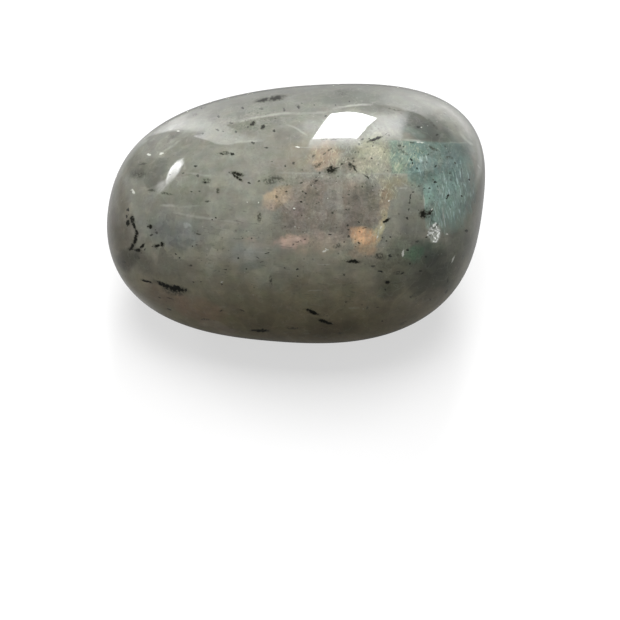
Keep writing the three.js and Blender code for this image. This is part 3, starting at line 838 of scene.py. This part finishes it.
def flat_terms_group():
    """From a point (x, y, z): the flat point (x, y, 1) and its squares (x x, x y, y y)."""
    tree, nodes, given, results = new_group("flat_terms", [("Point", "Vector")], [
        ("Flat", "Vector"),
        ("Squares", "Vector"),
    ])
    parts = nodes.add("ShaderNodeSeparateXYZ", {"Vector": given["Point"]}).outputs
    flat = nodes.add("ShaderNodeCombineXYZ", {"X": parts["X"], "Y": parts["Y"], "Z": 1.0})
    squares = nodes.add("ShaderNodeCombineXYZ", {
        "X": nodes.times(parts["X"], parts["X"]),
        "Y": nodes.times(parts["X"], parts["Y"]),
        "Z": nodes.times(parts["Y"], parts["Y"]),
    })
    nodes.feed(results["Flat"], flat.outputs[0])
    nodes.feed(results["Squares"], squares.outputs[0])
    return tree


def speck_group():
    """Squared distance from the middle of a turned oval, 1 at its edge, or the nearest so
    far: the quadratic form  a x x + b x y + c y y + d x + e y + f."""
    tree, nodes, given, results = new_group("speck", [
        ("Flat", "Vector"),
        ("Squares", "Vector"),
        ("Linear", "Vector"),
        ("Quadratic", "Vector"),
        ("Nearest", "Float"),
    ], [("Nearest", "Float")])
    linear = nodes.vector("DOT_PRODUCT", given["Flat"], given["Linear"])
    quadratic = nodes.vector("DOT_PRODUCT", given["Squares"], given["Quadratic"])
    apart = nodes.plus(linear, quadratic)
    nodes.feed(results["Nearest"], nodes.math("MINIMUM", apart, given["Nearest"]))
    return tree


def colour_patch_group():
    """Lays a tint over a colour inside a turned oval with a soft edge."""
    tree, nodes, given, results = new_group("colour_patch", [
        ("Flat", "Vector"),
        ("Squares", "Vector"),
        ("Linear", "Vector"),
        ("Quadratic", "Vector"),
        ("Inner", "Float"),
        ("Strength", "Float"),
        ("Whole", "Float"),
        ("Colour", "Color"),
        ("Tint", "Color"),
    ], [("Colour", "Color")])
    linear = nodes.vector("DOT_PRODUCT", given["Flat"], given["Linear"])
    quadratic = nodes.vector("DOT_PRODUCT", given["Squares"], given["Quadratic"])
    mask = nodes.ramp(nodes.plus(linear, quadratic), 1.0, given["Inner"])
    share = nodes.times(mask, given["Strength"], given["Whole"])
    nodes.feed(results["Colour"], nodes.mix(share, given["Colour"], given["Tint"]))
    return tree


def pale_line_group():
    """Mask of a thin line that bends as a shallow arch and fades towards its ends, or the
    strongest mask so far. Along it runs from -1 to 1, across it is in half widths."""
    tree, nodes, given, results = new_group("pale_line", [
        ("Flat", "Vector"),
        ("Along", "Vector"),
        ("Across", "Vector"),
        ("Bend", "Float"),
        ("Strength", "Float"),
        ("Strongest", "Float"),
    ], [("Strongest", "Float")])
    along = nodes.vector("DOT_PRODUCT", given["Flat"], given["Along"])
    across = nodes.vector("DOT_PRODUCT", given["Flat"], given["Across"])
    square = nodes.times(along, along)
    arch = nodes.math("SUBTRACT", across, nodes.times(square, given["Bend"]))
    thin = nodes.ramp(nodes.math("ABSOLUTE", arch), 1.0, 0.0)
    ends = nodes.ramp(square, 1.0, 0.25)
    mask = nodes.times(thin, ends, given["Strength"])
    nodes.feed(results["Strongest"], nodes.math("MAXIMUM", mask, given["Strongest"]))
    return tree


def border_group():
    """Mask of what lies on one side of a line, faded over its softness, times the mask so
    far. Across is measured in softnesses."""
    tree, nodes, given, results = new_group("border", [
        ("Flat", "Vector"),
        ("Across", "Vector"),
        ("Mask", "Float"),
    ], [("Mask", "Float")])
    across = nodes.vector("DOT_PRODUCT", given["Flat"], given["Across"])
    nodes.feed(results["Mask"], nodes.times(nodes.ramp(across, -0.5, 0.5), given["Mask"]))
    return tree


def streaks_group():
    """Fine uneven streaks: noise squeezed across and drawn out along a leaning direction."""
    tree, nodes, given, results = new_group("streaks", [
        ("Point", "Vector"),
        ("Turn", "Vector"),
        ("Squeeze", "Vector"),
        ("Start", "Float"),
        ("End", "Float"),
    ], [("Mask", "Float")])
    local = nodes.add("ShaderNodeMapping", {
        "Vector": given["Point"],
        "Rotation": given["Turn"],
    }, vector_type="POINT").outputs[0]
    local = nodes.vector("MULTIPLY", local, given["Squeeze"])
    value = nodes.noise(local, 1.0, detail=2.0, roughness=0.55)
    nodes.feed(results["Mask"], nodes.ramp(value, given["Start"], given["End"]))
    return tree


def crackle_group():
    """Thin winding lines: where noise passes through its middle value."""
    tree, nodes, given, results = new_group("crackle", [
        ("Point", "Vector"),
        ("Per mm", "Float"),
        ("Width", "Float"),
    ], [("Mask", "Float")])
    value = nodes.noise(given["Point"], given["Per mm"], detail=2.0, roughness=0.6)
    off = nodes.math("ABSOLUTE", nodes.math("SUBTRACT", value, 0.5))
    nodes.feed(results["Mask"], nodes.ramp(off, given["Width"], 0.0))
    return tree


def planes_group():
    """Flat planes inside the stone: each cell of a stretched pattern has its own tone."""
    tree, nodes, given, results = new_group("planes", [
        ("Point", "Vector"),
        ("Squeeze", "Vector"),
        ("Spread", "Float"),
    ], [("Value", "Float")])
    local = nodes.vector("MULTIPLY", given["Point"], given["Squeeze"])
    cells = nodes.add("ShaderNodeTexVoronoi", {"Vector": local, "Scale": 1.0, "Randomness": 1.0})
    lot = nodes.add("ShaderNodeSeparateColor", {"Color": cells.outputs["Color"]}).outputs
    centred = nodes.math("SUBTRACT", lot["Red"], 0.5)
    nodes.feed(results["Value"], nodes.plus(nodes.times(centred, given["Spread"]), 1.0))
    return tree


def scattered_specks_group():
    """Random small specks: a soft dot in the middle of each cell whose lot is low. Other
    lots of the cell set the dot's size and strength."""
    tree, nodes, given, results = new_group("scattered_specks", [
        ("Point", "Vector"),
        ("Per mm", "Float"),
        ("Size", "Float"),
        ("Share", "Float"),
    ], [("Mask", "Float")])
    cells = nodes.add("ShaderNodeTexVoronoi", {
        "Vector": given["Point"],
        "Scale": given["Per mm"],
        "Randomness": 1.0,
    })
    lot = nodes.add("ShaderNodeSeparateColor", {"Color": cells.outputs["Color"]}).outputs
    size = nodes.times(given["Size"], nodes.plus(lot["Green"], 0.35))
    dot = nodes.ramp(cells.outputs["Distance"], size, nodes.times(size, 0.3))
    kept = nodes.math("LESS_THAN", lot["Red"], given["Share"])
    strength = nodes.plus(nodes.times(lot["Blue"], 0.6), 0.4)
    nodes.feed(results["Mask"], nodes.times(dot, kept, strength))
    return tree


def tilted(degrees):
    """Turn in the seen plane, for a mapping."""
    return (0, 0, math.radians(degrees))


def seen_axes(tilt):
    """Up in the seen plane and towards the eye, for an eye at a tilt above the table."""
    rise = math.radians(tilt)
    return (
        np.array([0, math.sin(rise), math.cos(rise)]),
        np.array([0, -math.cos(rise), math.sin(rise)]),
    )


def seen_point(nodes):
    """Point in millimetres: right, up in the seen plane and towards the eye, from the
    middle of the outline that the stone shows when looked at from the view tilt."""
    low, high = (np.array(corner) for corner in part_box("labradorite_stone"))
    up, towards = seen_axes(VIEW_TILT)
    middle = (low + high) / 2 - up * SEEN_DROP * MM
    up, towards = seen_axes(MARKS_TILT)
    grown = NEARNESS / MM
    place = nodes.add("ShaderNodeTexCoord").outputs["Object"]
    return nodes.add("ShaderNodeMapping", {
        "Vector": place,
        "Location": (0, -(middle @ up) * grown, -(middle @ towards) * grown),
        "Rotation": (math.radians(MARKS_TILT - 90), 0, 0),
        "Scale": (grown, grown, grown),
    }, vector_type="POINT").outputs[0]


def two_sided(nodes, point):
    """The point as seen on the near side, and turned and mirrored on the far side, whether
    it is near, and the shares that are left of small and of large marks at the border."""
    depth = nodes.plus(nodes.vector("DOT_PRODUCT", point, RIM_SLOPE), RIM_DEPTH)
    far = nodes.add("ShaderNodeMapping", {
        "Vector": point,
        "Rotation": tilted(FAR_TURN),
        "Scale": FAR_SCALE,
    }, vector_type="POINT").outputs[0]
    near = nodes.math("GREATER_THAN", depth, 0.0)
    off = nodes.math("ABSOLUTE", depth)
    small, large = (nodes.ramp(off, 0.0, fade) for fade in (SMALL_FADE, LARGE_FADE))
    return nodes.mix(near, far, point), near, small, large


def shaken(nodes, point, scale, amount, detail):
    """The point moved about by noise, which makes the edges of what it draws uneven."""
    noise = nodes.noise(point, scale, detail=detail, output="Color")
    centred = nodes.vector("SUBTRACT", noise, (0.5, 0.5, 0.5))
    return nodes.vector("ADD", point, nodes.vector("MULTIPLY", centred, (amount, amount, amount)))


def own_axes(long, wide, turn):
    """Directions along and across a turned mark, over its half length and half width."""
    angle = math.radians(turn)
    return (
        np.array([math.cos(angle), math.sin(angle)]) / long,
        np.array([-math.sin(angle), math.cos(angle)]) / wide,
    )


def oval_terms(right, up, long, wide, turn):
    """Linear and quadratic terms of the squared distance from a turned oval's middle,
    measured in its own half sizes."""
    lengthwise, sidewise = own_axes(long, wide, turn)
    form = np.outer(lengthwise, lengthwise) + np.outer(sidewise, sidewise)
    middle = np.array([right, up])
    slope = -2 * form @ middle
    return {
        "linear": (*slope, middle @ form @ middle),
        "quadratic": (form[0, 0], 2 * form[0, 1], form[1, 1]),
    }


def line_terms(right, up, long, wide, turn):
    """Terms that measure along and across a turned line, in its own half sizes."""
    lengthwise, sidewise = own_axes(long, wide, turn)
    middle = np.array([right, up])
    return {
        "along": (*lengthwise, -lengthwise @ middle),
        "across": (*sidewise, -sidewise @ middle),
    }


def flat_terms(nodes, tree, point):
    """Flat point and squares of a point, as inputs for specks, patches and lines."""
    node = nodes.add("ShaderNodeGroup", {}, node_tree=tree)
    nodes.feed(node.inputs["Point"], point)
    return {"flat": node.outputs["Flat"], "squares": node.outputs["Squares"]}


def nearest_speck(nodes, group, terms, table):
    """Squared distance, 1 at the edge, from the nearest of a table's specks."""
    nearest = FAR_OFF
    for row in table:
        nearest = nodes.group(group, nearest=nearest, **terms, **oval_terms(*row))
    return nearest


def pale_lines(nodes, group, terms, table):
    """Mask of all pale lines in a table."""
    strongest = 0.0
    for right, up, long, wide, turn, bend, strength in table:
        strongest = nodes.group(
            group,
            flat=terms["flat"],
            bend=bend / wide,
            strength=strength,
            strongest=strongest,
            **line_terms(right, up, long, wide, turn),
        )
    return strongest


def inside_borders(nodes, group, terms, borders, mask):
    """The mask cut off at each border."""
    for right, up, turn, softness in borders:
        across = line_terms(right, up, 1.0, softness, turn)["across"]
        mask = nodes.group(group, flat=terms["flat"], across=across, mask=mask)
    return mask


def with_patches(nodes, group, terms, colour, table, whole):
    """Lays each soft patch of a table over the colour, at a share of its strength."""
    for right, up, long, wide, turn, softness, strength, tint in table:
        colour = nodes.group(
            group,
            inner=(1 - softness) ** 2,
            strength=strength,
            whole=whole,
            colour=colour,
            tint=(*tint, 1),
            **terms,
            **oval_terms(right, up, long, wide, turn),
        )
    return colour


def body_colour(nodes, point):
    """Grey-green stone that turns olive and warmer downwards, darker towards the lower edge, which is
    painted shade, and again towards the upper edge.
    """
    height = nodes.add("ShaderNodeSeparateXYZ", {"Vector": point}).outputs["Y"]
    share = nodes.ramp(height, *BODY_SPAN, smooth=False)
    ramp = nodes.add("ShaderNodeValToRGB", {"Fac": share})
    elements = ramp.color_ramp.elements
    for element, (position, colour) in zip(elements, (BODY_RAMP[0], BODY_RAMP[-1])):
        element.position, element.color = position, (*colour, 1)
    for position, colour in BODY_RAMP[1:-1]:
        elements.new(position).color = (*colour, 1)
    return ramp.outputs["Color"]


class StoneNodes(Nodes):
    """Nodes of the stone's material, with its groups and what all its layers read: the seen
    point, the point of the marks, whether it is on the near side, and the shares that are
    left of small and of large marks."""

    def __init__(self, tree):
        super().__init__(tree)
        self.terms = flat_terms_group()
        self.speck = speck_group()
        self.patch = colour_patch_group()
        self.line = pale_line_group()
        self.border = border_group()
        self.streaks = streaks_group()
        self.crackle = crackle_group()
        self.planes = planes_group()
        self.scattered = scattered_specks_group()
        self.seen = seen_point(self)
        self.point, self.near, self.small_left, self.large_left = two_sided(self, self.seen)

    def flat(self, shake, point=None):
        """Flat terms of the point, or of another one, with its edges shaken."""
        moved = shaken(self, self.point if point is None else point, *shake)
        return flat_terms(self, self.terms, moved)

    def nearest(self, terms, table):
        return nearest_speck(self, self.speck, terms, table)

    def edge(self, nearest, name):
        """Soft mask from squared distances, by the name of its edge."""
        start, full, strength = EDGES[name]
        return self.ramp(nearest, start, full, 0.0, strength)

    def within(self, terms, table, name):
        """Soft mask of a table's ovals, by the name of their edge."""
        return self.edge(self.nearest(terms, table), name)

    def streaked(self, name):
        """Mask of one kind of streak times its strength."""
        turn, squeeze, start, full, strength = STREAKS[name]
        mask = self.group(
            self.streaks, point=self.point, turn=tilted(turn), squeeze=squeeze, start=start, end=full,
        )
        return self.times(mask, strength)

    def dotted(self, point, per_mm, size, share):
        return self.group(self.scattered, point=point, per_mm=per_mm, size=size, share=share)


def with_painted_sheen(stone, colour, waved, edged):
    """Painted coloured sheen on flat planes, dimmer between fine lamellae and on the far side. Some
    patches are cut off at the borders of their planes."""
    sides = stone.ramp(stone.near, 0.0, 1.0, FAR_SHEEN, 1.0, smooth=False)
    whole = stone.plus(stone.streaked("lamellae"), LAMELLAE_LEAST)
    whole = stone.times(whole, stone.large_left, sides)
    colour = with_patches(stone, stone.patch, edged, colour, PAINTED_SHEEN_PATCHES, whole)
    for borders, table in (
        ([BLUE_BORDER], BLUE_PATCHES),
        ([LEDGE], UPPER_PATCHES),
        ([TEAL_TOP, LEDGE, TEAL_STEPS[0]], GREEN_PATCHES),
        ([TEAL_TOP, TEAL_STEPS[1]], TEAL_PATCHES),
        ([TEAL_STEPS[2]], TEAL_LOW_PATCHES),
        ([ORANGE_TOP, ORANGE_SIDE], ORANGE_PATCHES),
    ):
        cut = inside_borders(stone, stone.border, waved, borders, whole)
        colour = with_patches(stone, stone.patch, edged, colour, table, cut)
    return colour


def with_streaks(stone, colour, loose, edged):
    """Short bright and dark streaks in the teal and leaning flecks in the yellow and orange, all painted
    sheen, level dashes in the body, and faint winding cracks everywhere."""
    inside = stone.times(stone.within(edged, STREAKED, "streaked"), stone.large_left)
    # Painted sheen: bright and dark streaks in the teal.
    colour = stone.tint(stone.times(stone.streaked("painted glints"), inside), colour, PAINTED_TEAL_GLINT)
    colour = stone.tint(stone.times(stone.streaked("painted shades"), inside), colour, PAINTED_TEAL_SHADE)
    # Painted sheen: leaning yellow flecks in the yellow and orange.
    inside = stone.times(stone.within(edged, CRACKLED, "crackled"), stone.large_left)
    flecks = stone.math("MAXIMUM", stone.streaked("flecks"), stone.streaked("cross flecks"))
    colour = stone.tint(stone.times(flecks, inside), colour, YELLOW_FLECK)
    inside = stone.times(stone.within(loose, DASHED, "dashed"), stone.large_left)
    colour = stone.tint(stone.times(stone.streaked("dashes"), inside), colour, DARK_DASH)
    cracks = stone.group(
        stone.crackle, point=stone.seen, per_mm=CRACKS_PER_MM, width=CRACK_WIDTH,
    )
    return stone.tint(stone.times(cracks, CRACK_STRENGTH), colour, FINE_CRACK)


def with_uneven_tone(stone, colour, loose, dusty):
    """Tone that varies by a slow mottle, a fine grain that is stronger where the stone is
    dusty, flat planes and faint bands, and a hue that changes slowly."""
    mottle = stone.noise(stone.seen, *MOTTLE)
    value = stone.ramp(mottle, *MOTTLE_TONES, smooth=False)
    grain = stone.noise(stone.seen, *GRAIN)
    rough = stone.plus(stone.times(dusty, GRAIN_ADDED), GRAIN_LEAST)
    grain = stone.times(stone.math("SUBTRACT", grain, 0.5), rough)
    value = stone.times(value, stone.plus(grain, 1.0))
    bent = shaken(stone, stone.seen, *BENT)
    strong = stone.within(loose, FACETED, "faceted")
    for squeeze, least, added in PLANES:
        spread = stone.plus(stone.times(strong, added), least)
        planes = stone.group(stone.planes, point=bent, squeeze=squeeze, spread=spread)
        value = stone.times(value, planes)
    for bands in ("upright bands", "level bands"):
        strength = STREAKS[bands][-1]
        value = stone.times(value, stone.plus(stone.streaked(bands), 1 - strength / 2))
    toned = stone.add("ShaderNodeHueSaturation", {"Color": colour, "Value": value}).outputs[0]
    hues = stone.noise(stone.seen, *HUES, output="Color")
    hues = stone.vector("ADD", stone.vector("MULTIPLY", hues, HUE_ADDED), HUE_LEAST)
    return stone.mix(1.0, toned, hues, blend="MULTIPLY")


def with_cleavage_and_reflection_lines(stone, colour, waved):
    """Thin pale lines that come and go along their length: cleavage lines, and along the arc near the top
    edge partly a painted reflection.
    """
    lines = stone.times(pale_lines(stone, stone.line, waved, PALE_LINES), stone.small_left)
    patchy = stone.ramp(stone.noise(stone.seen, *PATCHY), *PATCHY_SHARES, smooth=False)
    return stone.tint(stone.times(lines, patchy), colour, PALE_CLEAVAGE_AND_REFLECTION)


def with_deep_specks(stone, colour, ragged, dots):
    """Blurred dark specks that lie deeper in the stone and are broken up by noise."""
    mask = stone.times(stone.within(ragged, BLURRED_SPECKS, "deep speck"), stone.small_left)
    mask = stone.times(mask, DEEP_STRENGTH, stone.ramp(dots, *DEEP_SHARES))
    return stone.tint(mask, colour, DEEP_SPECK)


def with_dust(stone, colour, dusty, nearest):
    """Fine dark and pale dots where the stone is dusty, in places, and near large specks."""
    in_places = stone.ramp(stone.noise(stone.seen, *DUST_SPREAD), *DUST_PLACES)
    where = stone.math("MAXIMUM", dusty, in_places)
    where = stone.math("MAXIMUM", where, stone.edge(nearest, "dust around"))
    fine = stone.dotted(stone.seen, *FINE_DUST)
    finer = stone.times(stone.dotted(stone.seen, *FINER_DUST), FINER_STRENGTH)
    dust = stone.times(stone.math("MAXIMUM", fine, finer), where)
    colour = stone.tint(dust, colour, DARK_DUST)
    aside = stone.vector("ADD", stone.seen, ASIDE)
    pale = stone.times(stone.dotted(aside, *LIGHT_DUST), where, LIGHT_STRENGTH)
    return stone.tint(pale, colour, PALE_DUST)


def with_large_specks(stone, colour, nearest, uneven):
    """Ragged black specks with a soft halo. Gives the colour and the specks' mask."""
    halo = stone.times(stone.edge(nearest, "halo"), stone.small_left)
    colour = stone.tint(halo, colour, SPECK_HALO)
    mask = stone.edge(stone.plus(nearest, uneven), "large speck")
    mask = stone.times(mask, stone.small_left)
    return stone.tint(mask, colour, LARGE_BLACK), mask


def with_small_specks(stone, colour, ragged, uneven):
    """Small black specks, some weaker than others, and white ones on the near side."""
    small = [row for row in DARK_SPECKS if row[2] * row[3] <= LARGE_SPECK]
    nearest = stone.plus(stone.nearest(ragged, small), stone.times(uneven, SMALL_UNEVEN))
    strong = stone.ramp(stone.noise(stone.seen, *SPECK_SPREAD), *SPECK_SHARES, smooth=False)
    mask = stone.times(stone.edge(nearest, "small speck"), stone.small_left, strong)
    colour = stone.tint(mask, colour, SMALL_BLACK)
    nearest = stone.nearest(ragged, WHITE_SPECKS)
    nearest = stone.plus(nearest, stone.times(uneven, WHITE_UNEVEN))
    white = stone.times(stone.edge(nearest, "white speck"), stone.large_left, stone.near)
    return stone.tint(white, colour, WHITE_SPECK)


def with_chip(stone, colour, ragged, uneven, dots):
    """Crushed pale stone in the chip, with whiter flakes. Gives the colour and the chip's
    mask."""
    mask = stone.times(stone.within(ragged, [CHIP_AREA], "chip"), stone.near)
    crushed = stone.ramp(dots, *CRUSHED_SHARES)
    colour = stone.tint(stone.times(mask, crushed), colour, CRUSHED)
    nearest = stone.plus(stone.nearest(ragged, CHIP_FLAKES), uneven)
    flakes = stone.times(stone.edge(nearest, "flake"), stone.near)
    return stone.tint(flakes, colour, WHITE_FLAKE), mask


def polished_labradorite():
    """Grey-green stone with a painted coloured sheen, specks and cleavage lines under a clear polish,
    which is missing in the chip and weak on the large specks. Some shade and reflection is painted into
    its colour too."""
    material = bpy.data.materials.new("polished_labradorite")
    stone = StoneNodes(cleared(material))
    loose = stone.flat(LOOSE)
    colour = body_colour(stone, stone.seen)
    colour = with_patches(stone, stone.patch, loose, colour, BODY_CLOUDS, stone.large_left)
    waved = stone.flat(WAVED)
    edged = stone.flat(EDGED)
    colour = with_painted_sheen(stone, colour, waved, edged)
    colour = with_streaks(stone, colour, loose, edged)
    dusty = stone.times(stone.within(loose, DUSTED, "dusted"), stone.large_left)
    colour = with_uneven_tone(stone, colour, loose, dusty)
    colour = with_cleavage_and_reflection_lines(stone, colour, waved)

    shallow = stone.vector("MULTIPLY", stone.point, SPECK_DEPTH)
    dots = stone.noise(shallow, SPECK_NOISE, detail=1.0)
    uneven = stone.times(stone.math("SUBTRACT", dots, 0.5), SPECK_UNEVEN)
    ragged = stone.flat(RAGGED, shallow)
    colour = with_deep_specks(stone, colour, ragged, dots)
    large = [row for row in DARK_SPECKS if row[2] * row[3] > LARGE_SPECK]
    nearest = stone.nearest(ragged, large)
    colour = with_dust(stone, colour, dusty, nearest)
    colour, specks = with_large_specks(stone, colour, nearest, uneven)
    colour = with_small_specks(stone, colour, ragged, uneven)
    colour, chip = with_chip(stone, colour, ragged, uneven, dots)

    bare = stone.math("MAXIMUM", chip, stone.times(specks, BARE_SPECKS))
    shader = stone.add("ShaderNodeBsdfPrincipled", {
        "Base Color": colour,
        "Roughness": 0.35,
        "IOR": FELDSPAR_IOR,
        "Specular IOR Level": 0.15,
        "Coat Weight": stone.math("SUBTRACT", 1.0, bare),
        "Coat Roughness": 0.03,
        "Coat IOR": FELDSPAR_IOR,
    })
    stone.show(shader.outputs["BSDF"])
    return material


def pale_floor_material():
    """Pale matt floor. It shows near white, bounces little light up onto the stone, and is mirrored in
    the polish as a glowing table that is dark under the stone's front, a painted shadow, with painted
    gleams beside the stone."""
    material = bpy.data.materials.new("pale_floor")
    nodes = Nodes(cleared(material))
    path = nodes.add("ShaderNodeLightPath")
    matt = nodes.add("ShaderNodeBsdfDiffuse", {"Color": FLOOR_MATT})
    glow = nodes.add("ShaderNodeEmission", {"Color": (1, 1, 1, 1), "Strength": 1.0})
    shown = nodes.mixed_shader(FLOOR_GLOW_SHARE, matt.outputs["BSDF"], glow.outputs["Emission"])
    bounced = nodes.add("ShaderNodeBsdfDiffuse", {"Color": FLOOR_BOUNCE})
    place = nodes.add("ShaderNodeTexCoord")
    across = nodes.add("ShaderNodeSeparateXYZ", {"Vector": place.outputs["Object"]}).outputs
    # Painted shadow: the mirrored glow is low under the stone's front.
    behind = nodes.ramp(across["Y"], *FLOOR_BEHIND, smooth=False)
    apart = nodes.math("ABSOLUTE", across["X"])
    beside = nodes.ramp(apart, *FLOOR_BESIDE, smooth=False)
    mirrored = nodes.plus(behind, beside)
    for *edges, glow_here in FLOOR_GLEAMS:
        gleam = glow_here
        for axis, (start, full) in zip("XXYY", edges):
            gleam = nodes.times(gleam, nodes.ramp(across[axis], start * MM, full * MM))
        mirrored = nodes.plus(mirrored, gleam)
    mirrored = nodes.add("ShaderNodeEmission", {"Strength": mirrored})
    floor = nodes.mixed_shader(path.outputs["Is Diffuse Ray"], shown, bounced.outputs["BSDF"])
    floor = nodes.mixed_shader(path.outputs["Is Glossy Ray"], floor, mirrored.outputs["Emission"])
    nodes.show(floor)
    return material


def add_floor():
    """Wide level floor under the stone."""
    corners = np.array([[-1, -1, 0], [1, -1, 0], [1, 1, 0], [-1, 1, 0]]) * FLOOR_REACH
    floor = mesh_object("floor", corners, np.array([[0, 1, 2, 3]]), np.zeros((0, 3), int))
    floor.data.materials.append(pale_floor_material())


def soft_world():
    """Even pale surroundings: near white behind the stone, dimmer as a light."""
    world = bpy.data.worlds.new("soft_studio")
    bpy.context.scene.world = world
    nodes = Nodes(cleared(world))
    path = nodes.add("ShaderNodeLightPath")
    lit = nodes.add("ShaderNodeBackground", {"Color": (1, 1, 1, 1), "Strength": WORLD_LIGHT})
    shown = nodes.add("ShaderNodeBackground", {"Color": (1, 1, 1, 1), "Strength": WORLD_SHOWN})
    choice = nodes.mixed_shader(
        path.outputs["Is Camera Ray"], lit.outputs["Background"], shown.outputs["Background"],
    )
    nodes.show(choice, "ShaderNodeOutputWorld")


def aim(thing, place, target):
    """Puts a lamp or camera at a place with its -Z axis towards the target."""
    forward = unit(np.asarray(target) - np.asarray(place))
    right = unit(np.cross(forward, [0, 0, 1]))
    up = np.cross(right, forward)
    matrix = np.eye(4)
    matrix[:3, 0] = right
    matrix[:3, 1] = up
    matrix[:3, 2] = -forward
    matrix[:3, 3] = place
    thing.matrix_world = matrix.T.tolist()


def add_lamp(name, bearing, tilt, distance, width, height, radiance):
    """A rectangular lamp that looks at the stone, its strength given as its radiance. It
    isn't mirrored in the polish, which mirrors the cards instead."""
    light = bpy.data.lights.new(name, "AREA")
    light.shape = "RECTANGLE"
    light.size = width
    light.size_y = height
    light.energy = radiance * math.pi * width * height
    lamp = bpy.data.objects.new(name, light)
    bpy.context.scene.collection.objects.link(lamp)
    aim(lamp, LIT_POINT + facing(bearing, tilt) * distance, LIT_POINT)
    lamp.visible_camera = False
    lamp.visible_glossy = False


def card_material():
    """Glowing card, as bright at each corner as its glow says."""
    material = bpy.data.materials.new("studio_card")
    material.cycles.emission_sampling = "NONE"
    nodes = Nodes(cleared(material))
    glow = nodes.add("ShaderNodeAttribute", attribute_name="glow")
    light = nodes.add("ShaderNodeEmission", {"Strength": glow.outputs["Fac"]})
    nodes.show(light.outputs["Emission"])
    return material


def add_card(name, points, glows, quads, triangles, material):
    """A glowing card that is seen only as a reflection in the polish."""
    card = mesh_object(name, points, quads, triangles)
    glow = card.data.attributes.new("glow", "FLOAT", "POINT")
    glow.data.foreach_set("value", np.asarray(glows, dtype=np.float32))
    card.data.materials.append(material)
    card.visible_camera = False
    card.visible_diffuse = False
    card.visible_shadow = False
    card.visible_transmission = False


def add_far_card(name, distance, fade, middle_glow, rim, material):
    """Card at a distance, its rim given by bearing, tilt and glow. The glow falls to nothing
    between an inner ring, the fade's share of the way to the middle, and the rim."""
    rim = np.array(rim)
    outer = facing(rim[:, 0], rim[:, 1])
    middle = outer.mean(0)
    inner = outer + (middle - outer) * fade
    points = np.vstack([outer, inner, middle]) * distance + LIT_POINT
    count = len(rim)
    start = np.arange(count)
    ahead = (start + 1) % count
    quads = np.stack([start, ahead, ahead + count, start + count], axis=-1)
    triangles = np.stack([start + count, ahead + count, np.full(count, 2 * count)], axis=-1)
    glows = [*np.zeros(count), *rim[:, 2], middle_glow]
    add_card(name, points, glows, quads, triangles, material)


def add_pale_sheet(material):
    """Low pale sheet that lies and stands behind the stone and shows as the band along the
    stone's top."""
    right, back, top, top_glow, foot_glow, front_glow = np.array(SHEET).T
    level = np.full(len(SHEET), SHEET_LEVEL)
    rows = [
        np.stack([right * SHEET_FRONT[0], back * SHEET_FRONT[1], level], axis=-1),
        np.stack([right, back, level], axis=-1),
        np.stack([right, back, top], axis=-1),
    ]
    count = len(SHEET)
    start = np.concatenate([np.arange(count - 1), count + np.arange(count - 1)])
    quads = np.stack([start, start + 1, start + count + 1, start + count], axis=-1)
    glows = [*front_glow, *foot_glow, *top_glow]
    add_card("pale_sheet", np.vstack(rows) * MM, glows, quads, np.zeros((0, 3), int), material)


def add_lamps():
    """Lamps that light the stone, and the cards that its polish mirrors."""
    for lamp in LAMPS:
        add_lamp(*lamp)
    glowing = card_material()
    for card in FAR_CARDS:
        add_far_card(*card, glowing)
    add_pale_sheet(glowing)


def add_camera():
    """Camera at the height the stone is seen from, framed as a square picture."""
    right = np.array([1, 0, 0])
    up, towards = seen_axes(VIEW_TILT)
    low, high = (np.array(corner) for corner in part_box("labradorite_stone"))
    seen = (low + high) / 2 - up * SEEN_DROP * MM
    off_right = (IMAGE_SIDE / 2 - SEEN_CENTRE[0]) / PIXELS_PER_MM * MM
    off_up = (SEEN_CENTRE[1] - IMAGE_SIDE / 2) / PIXELS_PER_MM * MM
    target = seen + right * off_right + up * off_up
    data = bpy.data.cameras.new("camera")
    data.sensor_width = SENSOR
    data.lens = CAMERA_DISTANCE / MM * PIXELS_PER_MM * SENSOR / IMAGE_SIDE
    data.clip_start = 0.01
    camera = bpy.data.objects.new("camera", data)
    bpy.context.scene.collection.objects.link(camera)
    aim(camera, target + towards * CAMERA_DISTANCE, target)
    bpy.context.scene.camera = camera


bpy.context.scene.view_settings.view_transform = "Standard"
stone = add_stone(polished_labradorite())
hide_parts("labradorite_stone")
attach(stone, "root")
add_floor()
soft_world()
add_lamps()
add_camera()
